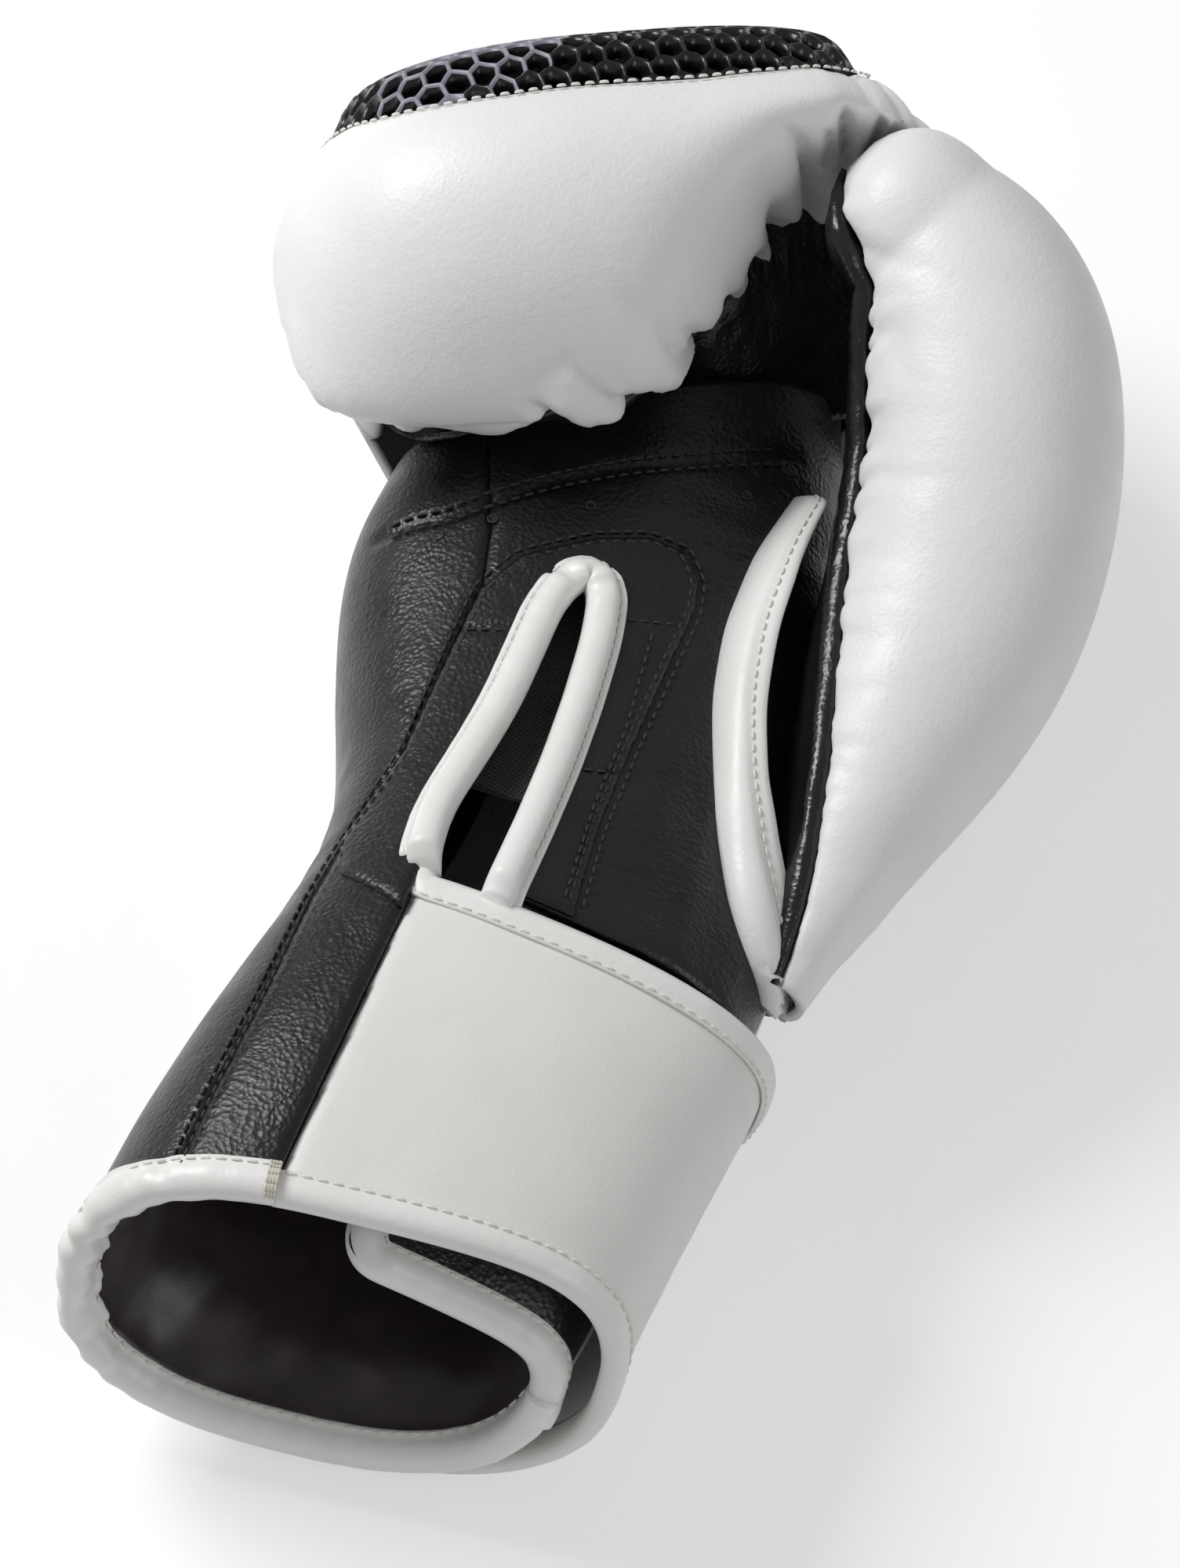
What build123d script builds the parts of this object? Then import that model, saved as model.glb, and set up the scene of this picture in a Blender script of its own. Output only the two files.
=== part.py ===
from build123d import *
import math
import os
from dataclasses import dataclass

# A right-hand boxing glove, lying on its back with the palm up. Millimetres.
# +Y points to the fingers, +X to the thumb and +Z out of the palm. The origin is on the flat
# that the back of the hand rests on.

# ---------------------------------------------------------------- driving dimensions
leather = 2.4  # cover leather with its backing cloth
lining = 1.0  # satin lining
gap = 0.35  # clearance between pieces that lie on each other
reach = 400.0  # more than the glove's length, for cutting prisms
side_reach = 200.0  # more than its width either side of the origin
squareness = 2.5  # exponent of the hand's rounded cross-section
ring_points_count = 16  # spline points in one cross-section

strap_thickness = 3.0
strap_sink = 1.6  # how far the strap lies below the side panel on the palm
strap_standoff = 6.4  # strap's outer face over the cover at the side and back
strap_flare = 4.0  # extra standoff at the cuff's mouth
binding_proud = 1.4  # how far a binding stands out of what it edges
strap_binding_width = 8.0
strap_binding_under = 0.4  # how far its binding stands in of the strap's inner face
strap_clearance = 0.8  # from the strap's top edge to the palm
underlap_clearance = 2.0  # from the underlap's top edge to the strap's
patch_corner = 3.0
window_depth_v = 20.0  # the lattice's window starts here, in front of the finger pocket
grip_front_v = 2.0  # the dark underside of the finger roll reaches this far to the front
grip_top_z = 88.0  # and this high behind the roll
hem_width = 8.0
edge_binding_width = 8.0
slot_binding_width = 5.0  # on each side of the slot's edge
overlay_thickness = 1.3
web_thickness = 3.0
slot_binding_depth = 4.2  # below the palm's surface
gusset_thickness = 0.7
patch_thickness = 0.9  # hook patch and loop patch, each

knuckle_slope = 25.0  # the knuckle line's turn about Z, degrees
fist_middle = (-30.0, 90.0)  # where the knuckle line's own origin lies
fist_half_length = 75.5
fist_shift = 11.0  # middle of the fist along the knuckle line
fist_joint_v = -8.0  # plane where the fist section meets the hand section
roll_underside = 64.0  # height of the underside of the finger roll
lattice_thickness = 9.0
lattice_proud = 3.5
lattice_backing_thickness = 2.0
cell_radius = 7.0  # honeycomb cell, centre to corner
cell_wall = 2.0
window_low, window_high = 16.0, 116.0  # lattice window, heights
window_left, window_right = -47.0, 54.0  # lattice window, along the knuckle line
window_corner = 16.0
lattice_rim = 3.0  # solid edge of the lattice
bed_drop = 1 / 3  # the lattice's bed lies this share of its depth lower

curl_v, curl_z = 4.0, 64.0  # axis that the fingers curl about
curl_inner, curl_outer = 11.5, 34.0
pocket_left, pocket_split, pocket_right = -42.0, 8.0, 42.0  # along the knuckle line
curl_tip = 6.0  # how far the pocket runs on behind the curl's axis
forefinger_front_v = 34.0
forefinger_low_z, forefinger_high_z = 24.0, 42.0

thumb_wall = 9.0  # leather, foam and lining of the thumb together
thumb_passage_start = (5, -12, 38)  # in the hand's cavity, below its thumb side
thumb_passage_run = (47, 42, 12)  # which way the passage leads into the thumb
thumb_passage_radius = 11.0
thumb_passage_length = 70.0
thumb_hand_clearance = 0.4
web_clearance = 1.0  # from the web's binding to the thumb
thumb_fist_clearance = 1.0
gusset_low = 18.0  # the gusset fills the slot above y = -gusset_low


@dataclass
class Station:
    """One cross-section of the hand and cuff, at its centre, turned about Z and leaning back."""

    x: float
    y: float
    z: float
    turn: float
    lean: float
    half_width: float
    top: float  # palm side, above the centre
    bottom: float  # back of the hand, below the centre
    side_wall: float
    back_wall: float
    palm_wall: float
    underlap_drop: float  # how far the underlap lies below the palm's surface

    def plane(self):
        across = Vector(1, 0, 0).rotate(Axis.Z, -self.turn)
        lean = math.radians(self.lean)
        up = Vector(0, math.sin(lean), math.cos(lean)).rotate(Axis.Z, -self.turn)
        return Plane(origin=(self.x, self.y, self.z), x_dir=across, z_dir=across.cross(up))


hand_stations = [
    Station(-29, -139, 46.0, -3, 17, 50, 36.5, 38.0, 8, 8, 9.0, 12.0),
    Station(-22, -105, 46.0, 4, 10, 50, 36.5, 38.0, 8, 9, 9.0, 9.5),
    Station(-13, -70, 45.5, 8, 4, 49, 34.5, 37.5, 8, 11, 9.0, 7.5),
    Station(-6, -35, 41.5, 8, 0, 49, 32.5, 37.5, 9, 13, 8.5, 6.9),
    Station(-9, 5, 36.0, 0, 0, 51, 30.0, 36.9, 10, 15, 7.5, 6.9),
    Station(-14, 42, 33.0, -8, 0, 53, 29.0, 33.7, 11, 16, 7.0, 6.9),
    Station(-22, 84, 32.0, -knuckle_slope, 0, 55, 27.0, 32.0, 12, 19, 7.0, 6.9),
]
cuff_stations = hand_stations[:4]


def rounded_ring(left, right, top, bottom):
    """Points of a rounded cross-section whose four quarters have their own half-widths."""
    points = []
    for i in range(ring_points_count):
        angle = 2 * math.pi * i / ring_points_count
        c, s = math.cos(angle), math.sin(angle)
        width = right if c > 0 else left
        height = top if s > 0 else bottom
        across = math.copysign(abs(c) ** (2 / squareness), c) * width
        up = math.copysign(abs(s) ** (2 / squareness), s) * height
        points.append((across, up))
    return points


def spline_face(plane, points):
    with BuildSketch(plane) as section:
        with BuildLine():
            Spline(*points, periodic=True)
        make_face()
    return section.sketch.faces()[0]


def hand_faces(inset=0.0, stations=hand_stations):
    """Sections of the hand's outer surface, moved inwards by inset."""
    return [
        spline_face(
            s.plane(),
            rounded_ring(s.half_width - inset, s.half_width - inset, s.top - inset, s.bottom - inset),
        )
        for s in stations
    ]


def cavity_faces(outset=0.0):
    """Sections of the space for the hand, moved outwards by outset."""
    return [
        spline_face(
            s.plane(),
            rounded_ring(
                s.half_width - s.side_wall + outset,
                s.half_width - s.side_wall + outset,
                s.top - s.palm_wall + outset,
                s.bottom - s.back_wall + outset,
            ),
        )
        for s in hand_stations
    ]


def strap_faces(outset=0.0):
    """Sections of the wrist strap's outer surface, moved outwards by outset."""
    faces = []
    for i, s in enumerate(cuff_stations):
        flare = strap_flare * (1 - i / (len(cuff_stations) - 1))
        right = s.half_width + strap_standoff + flare + outset
        top = s.top - strap_sink + outset
        bottom = s.bottom + strap_standoff + outset
        faces.append(spline_face(s.plane(), rounded_ring(s.half_width, right, top, bottom)))
    return faces


def underlap_faces(outset=0.0):
    """Sections of the underlap's outer surface, moved outwards by outset."""
    return [
        spline_face(
            s.plane(),
            rounded_ring(
                s.half_width + outset, s.half_width + outset, s.top - s.underlap_drop + outset, s.bottom
            ),
        )
        for s in cuff_stations
    ]


# ---------------------------------------------------------------- the fist's own frame
slope = math.radians(knuckle_slope)
along_knuckles = Vector(math.cos(slope), math.sin(slope), 0)
to_front = Vector(-math.sin(slope), math.cos(slope), 0)


def fist_plane(u):
    """Section plane across the knuckle line at u: its x is v, to the front, and its y is up."""
    origin = Vector(*fist_middle, 0) + along_knuckles * u
    return Plane(origin=origin, x_dir=to_front, z_dir=along_knuckles)


fist_joint_plane = Plane(
    origin=Vector(*fist_middle, 0) + to_front * fist_joint_v, x_dir=along_knuckles, z_dir=to_front
)

# one section through the finger roll, back of the hand and punching face: v and height
fist_outline = [
    (-20, 2), (8, 1), (34, 10), (52, 33), (59, 62), (56, 90), (41, 113),
    (18, 122), (-4, 114), (-19, 97), (-25, 80), (-18, 66), (-24, 36),
]
fist_waist_z = 58.0  # above this the outline belongs to the finger roll
fist_round_v, fist_round_z = 18.0, 54.0  # what the ends round off towards
roll_front_v = 26.0
fist_end_power = 3.0
fist_end_share = 0.985  # how near its end the fist's last section lies
roll_pull = 0.97  # how far the roll is drawn in beside the thumb, as a share
roll_pull_from, roll_pull_to = -5.0, 58.0  # where along the knuckle line it is drawn in
roll_drop = 0.10  # how much lower the roll is at its thumb end, as a share
roll_drop_from, roll_drop_to = 45.0, 85.0
pull_thins = 0.5  # a wall's share lost where the roll is drawn in


def smooth_step(x, low, high):
    t = min(max((x - low) / (high - low), 0.0), 1.0)
    return t * t * (3 - 2 * t)


def moved_inwards(points, inset):
    """Each point of a closed anticlockwise outline, moved along its inward normal."""
    moved = []
    for i, (x, y) in enumerate(points):
        x0, y0 = points[i - 1]
        x1, y1 = points[(i + 1) % len(points)]
        length = math.hypot(x1 - x0, y1 - y0)
        moved.append((x - (y1 - y0) / length * inset, y + (x1 - x0) / length * inset))
    return moved


def fist_section(u, inset):
    """Outline of the fist at u along the knuckle line."""
    share = min(abs(u - fist_shift) / fist_half_length, fist_end_share)
    roundness = (1 - share**fist_end_power) ** (1 / fist_end_power)
    pull = 1 - roll_pull * smooth_step(u, roll_pull_from, roll_pull_to)
    height = 1 - roll_drop * smooth_step(u, roll_drop_from, roll_drop_to)
    points = []
    for v, z in fist_outline:
        if z > fist_waist_z:
            z = fist_waist_z + (z - fist_waist_z) * height
            if v < roll_front_v:
                v = roll_front_v + (v - roll_front_v) * pull
        v = fist_round_v + (v - fist_round_v) * roundness
        z = fist_round_z + (z - fist_round_z) * roundness
        points.append((v, z))
    return moved_inwards(points, inset * min(roundness, 1 - pull_thins * (1 - pull)))


fist_shares = [-1.0, -0.93, -0.75, -0.45, -0.1, 0.25, 0.5, 0.7, 0.85, 0.95, 1.0]


def fist_faces(inset=0.0):
    """Sections of the fist's outer surface, moved inwards by inset."""
    faces = []
    for share in fist_shares:
        u = fist_shift + share * (fist_half_length - max(inset, 0.0))
        faces.append(spline_face(fist_plane(u), fist_section(u, inset)))
    return faces


# ---------------------------------------------------------------- the thumb
@dataclass
class ThumbStation:
    centre: tuple
    across: float
    up: float


thumb_stations = [
    ThumbStation((43, -40, 49), 7, 10),
    ThumbStation((50, 0, 55), 17, 21),
    ThumbStation((57, 40, 62), 27, 28),
    ThumbStation((57, 78, 75), 29, 31),
    ThumbStation((46, 107, 90), 27, 27),
    ThumbStation((30, 121, 98), 20, 20),
    ThumbStation((17, 126, 101), 9, 10),
]


def thumb_faces(inset=0.0, stations=thumb_stations):
    """Sections of the thumb's outer surface, moved inwards by inset, ends too."""
    centres = [Vector(*s.centre) for s in stations]
    faces = []
    for i, s in enumerate(stations):
        ahead = centres[min(i + 1, len(centres) - 1)]
        behind = centres[max(i - 1, 0)]
        direction = (ahead - behind).normalized()
        across = direction.cross(Vector(0, 0, 1)).normalized()
        end = (1 if i == 0 else 0) - (1 if i == len(stations) - 1 else 0)
        origin = centres[i] + direction * (end * max(inset, 0.0))
        with BuildSketch(Plane(origin=origin, x_dir=across, z_dir=direction)) as section:
            Ellipse(s.across - inset, s.up - inset)
        faces.append(section.sketch.faces()[0])
    return faces


# ---------------------------------------------------------------- cutting lines and zones
def plan_prism(points, radius=0.0, low=-50.0, high=200.0, grow=0.0):
    """A vertical prism over a plan outline, its corners rounded."""
    with BuildPart() as prism:
        with BuildSketch(Plane.XY.offset(low)) as outline:
            with BuildLine():
                Polyline(*points, close=True)
            make_face()
            if radius:
                fillet(outline.vertices(), radius)
            if grow:
                offset(amount=grow)
        extrude(amount=high - low)
    return prism.part


def plan_line_plane(start, end, shift=0.0):
    """A vertical plane along a plan line, moved to the right of start to end by shift."""
    run = Vector(end[0] - start[0], end[1] - start[1], 0).normalized()
    right = run.cross(Vector(0, 0, 1))
    return Plane(origin=Vector(start[0], start[1], 0) + right * shift, x_dir=run, z_dir=right)


strap_seam = ((-44.0, -137.0), (-33.0, -47.0))  # sewn edge of the strap
underlap_edge = ((-30.0, -140.0), (-10.0, -48.0))
strap_end = ((-27.0, -150.0), (-14.0, -48.0))  # the strap's free end, on the back
strap_fold_z = 46.0  # where the strap folds over the thumb side of the wrist
seam_middle = 34.0  # height of the back cover's seam at x = -10
cover_seam_plane = Plane(origin=(-10, 0, seam_middle), x_dir=(1, 0, 0.2), z_dir=(-0.2, 0, 1))
strap_top_plane = Plane(origin=(3, -50, 60), x_dir=(1, -0.12, 0), z_dir=(0.12, 1, 0))
mouth_plane = hand_stations[0].plane()
hem_plane = mouth_plane.offset(-hem_width)
side_outline = [
    (-120, -180), (-70, -180), (-62, -137), (-44, -40), (-38, 20), (-36, 140), (-120, 140),
]
thumb_seam_plan = ((46.0, -45.0), (38.0, 130.0))  # outer edge of the thumb's dark inner panel
thumb_seam_plane = Plane(origin=(29, 60, 95), x_dir=(0.2, 0.97, 0), z_dir=(-0.54, 0.11, -0.83))
slot_outline = [(-21, 39), (-8, 39), (-7, -49), (-34, -49), (-33, -32), (-27, -10)]
slot_corner = 5.5
overlay_outline = [(-43, -44), (-37, 5), (-30, 34), (-18, 49), (-3, 49), (6, 36), (4, 0), (2, -44)]
overlay_corner = 9.0
patch_outline = [(-4, -67), (14, -70), (6, -124), (-12, -121)]
web_outline = [
    (19, 70), (11, 50), (7, 25), (9, 5), (18, -18), (33, -42),
    (41, -42), (27, -16), (17, 5), (14, 25), (16, 48),
]
web_corner = 2.0
strap_zone_outline = [
    (strap_seam[0][0], -side_reach), strap_seam[0], strap_seam[1], (strap_seam[1][0], 0),
    (side_reach, 0), (side_reach, -side_reach),
]

slot_prism = plan_prism(slot_outline, slot_corner, low=seam_middle)
slot_wide_prism = plan_prism(slot_outline, slot_corner, low=seam_middle, grow=slot_binding_width)
web_prism = plan_prism(web_outline, web_corner, low=seam_middle)


with BuildPart() as strap_zone:
    add(plan_prism(strap_zone_outline))
    split(bisect_by=cover_seam_plane, keep=Keep.TOP)
    split(bisect_by=strap_top_plane.offset(strap_clearance), keep=Keep.BOTTOM)

with BuildPart() as thumb_passage:
    with Locations(Plane(origin=thumb_passage_start, z_dir=thumb_passage_run)):
        Cylinder(thumb_passage_radius, thumb_passage_length, align=(Align.CENTER, Align.CENTER, Align.MIN))

os.makedirs("parts", exist_ok=True)


def keep_piece(piece, name):
    """Labels a finished piece and writes it to parts/."""
    piece.part.label = name
    export_step(piece.part, f"parts/{name}.step")


# ---------------------------------------------------------------- cover of the hand and cuff
with BuildPart() as hand_shell:
    loft(hand_faces())
    loft(hand_faces(leather), mode=Mode.SUBTRACT)
    split(bisect_by=fist_joint_plane.offset(-gap), keep=Keep.BOTTOM)
    split(bisect_by=hem_plane.offset(-gap / 2), keep=Keep.BOTTOM)
    split(bisect_by=Plane.XY, keep=Keep.TOP)
    add(thumb_passage.part, mode=Mode.SUBTRACT)

with BuildPart() as back_cover:
    add(hand_shell.part)
    split(bisect_by=cover_seam_plane, keep=Keep.BOTTOM)
keep_piece(back_cover, "back_cover")

with BuildPart() as palm_half:
    add(hand_shell.part)
    split(bisect_by=cover_seam_plane.offset(gap), keep=Keep.TOP)
    add(strap_zone.part, mode=Mode.SUBTRACT)

side_prism = plan_prism(side_outline)
with BuildPart() as side_panel:
    add(palm_half.part)
    add(side_prism, mode=Mode.INTERSECT)
keep_piece(side_panel, "side_panel")

with BuildPart() as palm_panel:
    add(palm_half.part)
    add(plan_prism(side_outline, grow=gap), mode=Mode.SUBTRACT)
    add(slot_wide_prism, mode=Mode.SUBTRACT)
keep_piece(palm_panel, "palm_panel")

with BuildPart() as palm_overlay:
    loft(hand_faces(-gap - overlay_thickness))
    loft(hand_faces(-gap), mode=Mode.SUBTRACT)
    add(plan_prism(overlay_outline, overlay_corner, low=seam_middle), mode=Mode.INTERSECT)
    add(slot_wide_prism, mode=Mode.SUBTRACT)
    split(bisect_by=strap_top_plane.offset(gap), keep=Keep.TOP)
keep_piece(palm_overlay, "palm_overlay")

with BuildPart() as slot_binding:
    loft(hand_faces(-binding_proud - gap - overlay_thickness))
    loft(hand_faces(slot_binding_depth), mode=Mode.SUBTRACT)
    add(plan_prism(slot_outline, slot_corner, low=seam_middle, grow=slot_binding_width - gap),
        mode=Mode.INTERSECT)
    add(slot_prism, mode=Mode.SUBTRACT)
    split(bisect_by=strap_top_plane.offset(gap), keep=Keep.TOP)
keep_piece(slot_binding, "slot_binding")

with BuildPart() as web_binding:
    loft(hand_faces(-gap - web_thickness))
    loft(hand_faces(-gap), mode=Mode.SUBTRACT)
    add(web_prism, mode=Mode.INTERSECT)
keep_piece(web_binding, "thumb_web_binding")

gusset_top = slot_binding_depth + gap
with BuildPart() as slot_gusset:
    loft(hand_faces(gusset_top))
    loft(hand_faces(gusset_top + gusset_thickness), mode=Mode.SUBTRACT)
    add(plan_prism(slot_outline, slot_corner, low=seam_middle, grow=slot_binding_width - 2 * gap),
        mode=Mode.INTERSECT)
    split(bisect_by=Plane.XZ.offset(gusset_low), keep=Keep.BOTTOM)
keep_piece(slot_gusset, "slot_gusset")

# ---------------------------------------------------------------- padding and lining of the hand
with BuildPart() as hand_foam:
    loft(hand_faces(leather + gap))
    loft(cavity_faces(lining + gap), mode=Mode.SUBTRACT)
    split(bisect_by=fist_joint_plane.offset(-gap), keep=Keep.BOTTOM)
    split(bisect_by=hem_plane.offset(-gap / 2), keep=Keep.BOTTOM)
    split(bisect_by=Plane.XY.offset(leather + gap), keep=Keep.TOP)
    add(strap_zone.part, mode=Mode.SUBTRACT)
    add(slot_wide_prism, mode=Mode.SUBTRACT)
    add(thumb_passage.part, mode=Mode.SUBTRACT)
keep_piece(hand_foam, "hand_foam")

with BuildPart() as hand_lining:
    loft(cavity_faces(lining))
    loft(cavity_faces(), mode=Mode.SUBTRACT)
    split(bisect_by=fist_joint_plane.offset(-gap), keep=Keep.BOTTOM)
    split(bisect_by=hem_plane.offset(-gap / 2), keep=Keep.BOTTOM)
    add(strap_zone.part, mode=Mode.SUBTRACT)
    add(slot_prism, mode=Mode.SUBTRACT)
    add(thumb_passage.part, mode=Mode.SUBTRACT)
keep_piece(hand_lining, "hand_lining")

with BuildPart() as hem_binding:
    loft(hand_faces(-binding_proud))
    loft(cavity_faces(), mode=Mode.SUBTRACT)
    split(bisect_by=hem_plane.offset(gap / 2), keep=Keep.TOP)
    add(strap_zone.part, mode=Mode.SUBTRACT)
keep_piece(hem_binding, "cuff_hem_binding")

# ---------------------------------------------------------------- underlap of the wrist opening
palm_side_zone = plan_prism(strap_zone_outline)
back_side_zone = plan_prism(
    [(-side_reach, -side_reach), (side_reach, -side_reach), (side_reach, 0), (-side_reach, 0)],
    high=strap_fold_z,
)
underlap_inside = leather + gap + lining  # from its outer face to its inner one


def cut_to_underlap(edge_band=0.0):
    """Cuts the running part to the underlap, or to what lies inside its edge band."""
    split(bisect_by=cover_seam_plane.offset(gap), keep=Keep.TOP)
    split(bisect_by=strap_top_plane.offset(-underlap_clearance), keep=Keep.BOTTOM)
    split(bisect_by=plan_line_plane(*underlap_edge, shift=edge_band), keep=Keep.TOP)
    split(bisect_by=mouth_plane.offset(-edge_band), keep=Keep.BOTTOM)


with BuildPart() as underlap_cover:
    loft(underlap_faces())
    loft(underlap_faces(-leather), mode=Mode.SUBTRACT)
    cut_to_underlap(edge_binding_width + gap)
keep_piece(underlap_cover, "underlap_cover")

with BuildPart() as underlap_lining:
    loft(underlap_faces(-leather - gap))
    loft(underlap_faces(-underlap_inside), mode=Mode.SUBTRACT)
    cut_to_underlap(edge_binding_width + gap)
keep_piece(underlap_lining, "underlap_lining")

with BuildPart() as underlap_middle:
    add(palm_side_zone)
    cut_to_underlap(edge_binding_width)

with BuildPart() as underlap_binding:
    loft(underlap_faces(binding_proud))
    loft(underlap_faces(-underlap_inside), mode=Mode.SUBTRACT)
    cut_to_underlap()
    add(underlap_middle.part, mode=Mode.SUBTRACT)
keep_piece(underlap_binding, "underlap_binding")

# ---------------------------------------------------------------- wrist strap
strap_seam_plane = plan_line_plane(*strap_seam, shift=gap)
strap_end_plane = plan_line_plane(*strap_end)
fold_plane = Plane.XY.offset(strap_fold_z)


def cut_to_strap(low_band=0.0, high_band=0.0):
    """Cuts the running part to the strap's width, less a band at each edge."""
    split(bisect_by=mouth_plane.offset(-low_band), keep=Keep.BOTTOM)
    split(bisect_by=strap_top_plane.offset(-high_band), keep=Keep.BOTTOM)


def cut_to_panel():
    """Cuts the running part to the stretch from the sewn edge to the fold."""
    split(bisect_by=strap_seam_plane, keep=Keep.TOP)
    split(bisect_by=fold_plane.offset(gap / 2), keep=Keep.TOP)


def cut_to_tail(end_band=0.0):
    """Cuts the running part to the stretch from the fold to the free end, less a band there."""
    split(bisect_by=fold_plane.offset(-gap / 2), keep=Keep.BOTTOM)
    split(bisect_by=strap_end_plane.offset(end_band), keep=Keep.TOP)


with BuildPart() as strap_shell:
    loft(strap_faces())
    loft(strap_faces(-strap_thickness), mode=Mode.SUBTRACT)
    cut_to_strap(strap_binding_width + gap, strap_binding_width + gap)

with BuildPart() as strap_panel:
    add(strap_shell.part)
    cut_to_panel()
keep_piece(strap_panel, "strap_panel")

with BuildPart() as strap_tail:
    add(strap_shell.part)
    cut_to_tail(strap_binding_width + gap)
keep_piece(strap_tail, "strap_tail")

with BuildPart() as binding_shell:
    loft(strap_faces(binding_proud))
    loft(strap_faces(-strap_thickness - strap_binding_under), mode=Mode.SUBTRACT)
    cut_to_strap()

with BuildPart() as strap_top_binding:
    add(binding_shell.part)
    cut_to_panel()
    split(bisect_by=strap_top_plane.offset(-strap_binding_width), keep=Keep.TOP)
keep_piece(strap_top_binding, "strap_top_binding")

with BuildPart() as strap_bottom_binding:
    add(binding_shell.part)
    cut_to_panel()
    split(bisect_by=mouth_plane.offset(-strap_binding_width), keep=Keep.TOP)
keep_piece(strap_bottom_binding, "strap_bottom_binding")

with BuildPart() as tail_middle:
    add(back_side_zone)
    cut_to_strap(strap_binding_width, strap_binding_width)
    cut_to_tail(strap_binding_width)

with BuildPart() as strap_tail_binding:
    add(binding_shell.part)
    cut_to_tail()
    add(tail_middle.part, mode=Mode.SUBTRACT)
keep_piece(strap_tail_binding, "strap_tail_binding")

# hook and loop closure between the tail and the back of the cuff
patch_zone = plan_prism(patch_outline, patch_corner, high=seam_middle)

with BuildPart() as hook_patch:
    loft(strap_faces(-strap_thickness - gap))
    loft(strap_faces(-strap_thickness - gap - patch_thickness), mode=Mode.SUBTRACT)
    add(patch_zone, mode=Mode.INTERSECT)
keep_piece(hook_patch, "hook_patch")

with BuildPart() as loop_patch:
    loft(hand_faces(-gap - patch_thickness))
    loft(hand_faces(-gap), mode=Mode.SUBTRACT)
    add(patch_zone, mode=Mode.INTERSECT)
keep_piece(loop_patch, "loop_patch")

# ---------------------------------------------------------------- fist
def fist_box(u_low, u_high, v_low, v_high, z_low, z_high):
    """A block in the fist's frame."""
    with BuildPart() as block:
        with BuildSketch(fist_plane(u_low)):
            with Locations(((v_low + v_high) / 2, (z_low + z_high) / 2)):
                Rectangle(v_high - v_low, z_high - z_low)
        extrude(amount=u_high - u_low)
    return block.part


def behind_fist(lift=0.0):
    """What the hand takes up of the fist's section: behind the joint and under the finger roll."""
    return fist_box(-reach, reach, -reach, fist_joint_v, -reach, roll_underside + lift)


def window_prism(grow=0.0):
    """The lattice's window in the punching face, from in front of the pocket outwards."""
    middle_u = (window_left + window_right) / 2
    middle = Vector(*fist_middle, (window_low + window_high) / 2) + along_knuckles * middle_u
    window_plane = Plane(origin=middle + to_front * window_depth_v, x_dir=along_knuckles, z_dir=-to_front)
    with BuildPart() as window:
        with BuildSketch(window_plane):
            RectangleRounded(
                window_right - window_left + 2 * grow, window_high - window_low + 2 * grow, window_corner
            )
        extrude(amount=-reach)
    return window.part


def cell_prism():
    """Every open cell of the honeycomb, as prisms along the punching direction."""
    middle_u = (window_left + window_right) / 2
    middle = Vector(*fist_middle, (window_low + window_high) / 2) + along_knuckles * middle_u
    window_plane = Plane(origin=middle + to_front * window_depth_v, x_dir=along_knuckles, z_dir=-to_front)
    pitch_radius = cell_radius + cell_wall / math.sqrt(3)
    columns = int((window_right - window_left) / (pitch_radius * math.sqrt(3))) + 2
    rows = int((window_high - window_low) / (pitch_radius * 1.5)) + 2
    with BuildPart() as cells:
        with BuildSketch(window_plane):
            with HexLocations(pitch_radius, columns, rows, major_radius=True):
                RegularPolygon(cell_radius, 6)
            RectangleRounded(
                window_right - window_left - 2 * lattice_rim, window_high - window_low - 2 * lattice_rim,
                window_corner - lattice_rim, mode=Mode.INTERSECT,
            )
        extrude(amount=-reach)
    return cells.part


def fist_moved_in(depth):
    """The fist's outer solid moved back and down, as the bed of what is let into its face."""
    with BuildPart() as bed:
        loft(fist_faces())
    shift = to_front * -depth - Vector(0, 0, depth * bed_drop)
    return bed.part.moved(Location(shift))


def pocket_face(outset):
    """Profile of the curled space for the fingers, grown by outset."""
    low = curl_z - curl_outer - outset
    high = curl_z + curl_outer + outset
    inner = curl_inner - outset
    tip_v = curl_v - curl_tip
    rear_v = fist_joint_v - 1
    with BuildSketch(fist_plane(0)) as profile:
        with BuildLine():
            Line((rear_v, low), (curl_v, low))
            ThreePointArc((curl_v, low), (curl_v + curl_outer + outset, curl_z), (curl_v, high))
            Line((curl_v, high), (tip_v, high))
            ThreePointArc(
                (tip_v, high),
                (tip_v - (high - curl_z - inner) / 2, (high + curl_z + inner) / 2),
                (tip_v, curl_z + inner),
            )
            Line((tip_v, curl_z + inner), (curl_v, curl_z + inner))
            ThreePointArc((curl_v, curl_z + inner), (curl_v + inner, curl_z), (curl_v, curl_z - inner))
            Line((curl_v, curl_z - inner), (rear_v, curl_z - inner))
            Line((rear_v, curl_z - inner), (rear_v, low))
        make_face()
    return profile.sketch.faces()[0]


def finger_pocket(outset=0.0):
    """The curled space for three fingers and the straighter one for the forefinger."""
    with BuildPart() as pocket:
        face = pocket_face(outset).moved(Location(along_knuckles * (pocket_left - outset)))
        extrude(face, amount=pocket_split - pocket_left + 2 * outset, dir=along_knuckles)
        add(
            fist_box(
                pocket_split - gap, pocket_right + outset, fist_joint_v - 1, forefinger_front_v + outset,
                forefinger_low_z - outset, forefinger_high_z + outset,
            )
        )
    return pocket.part


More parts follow.
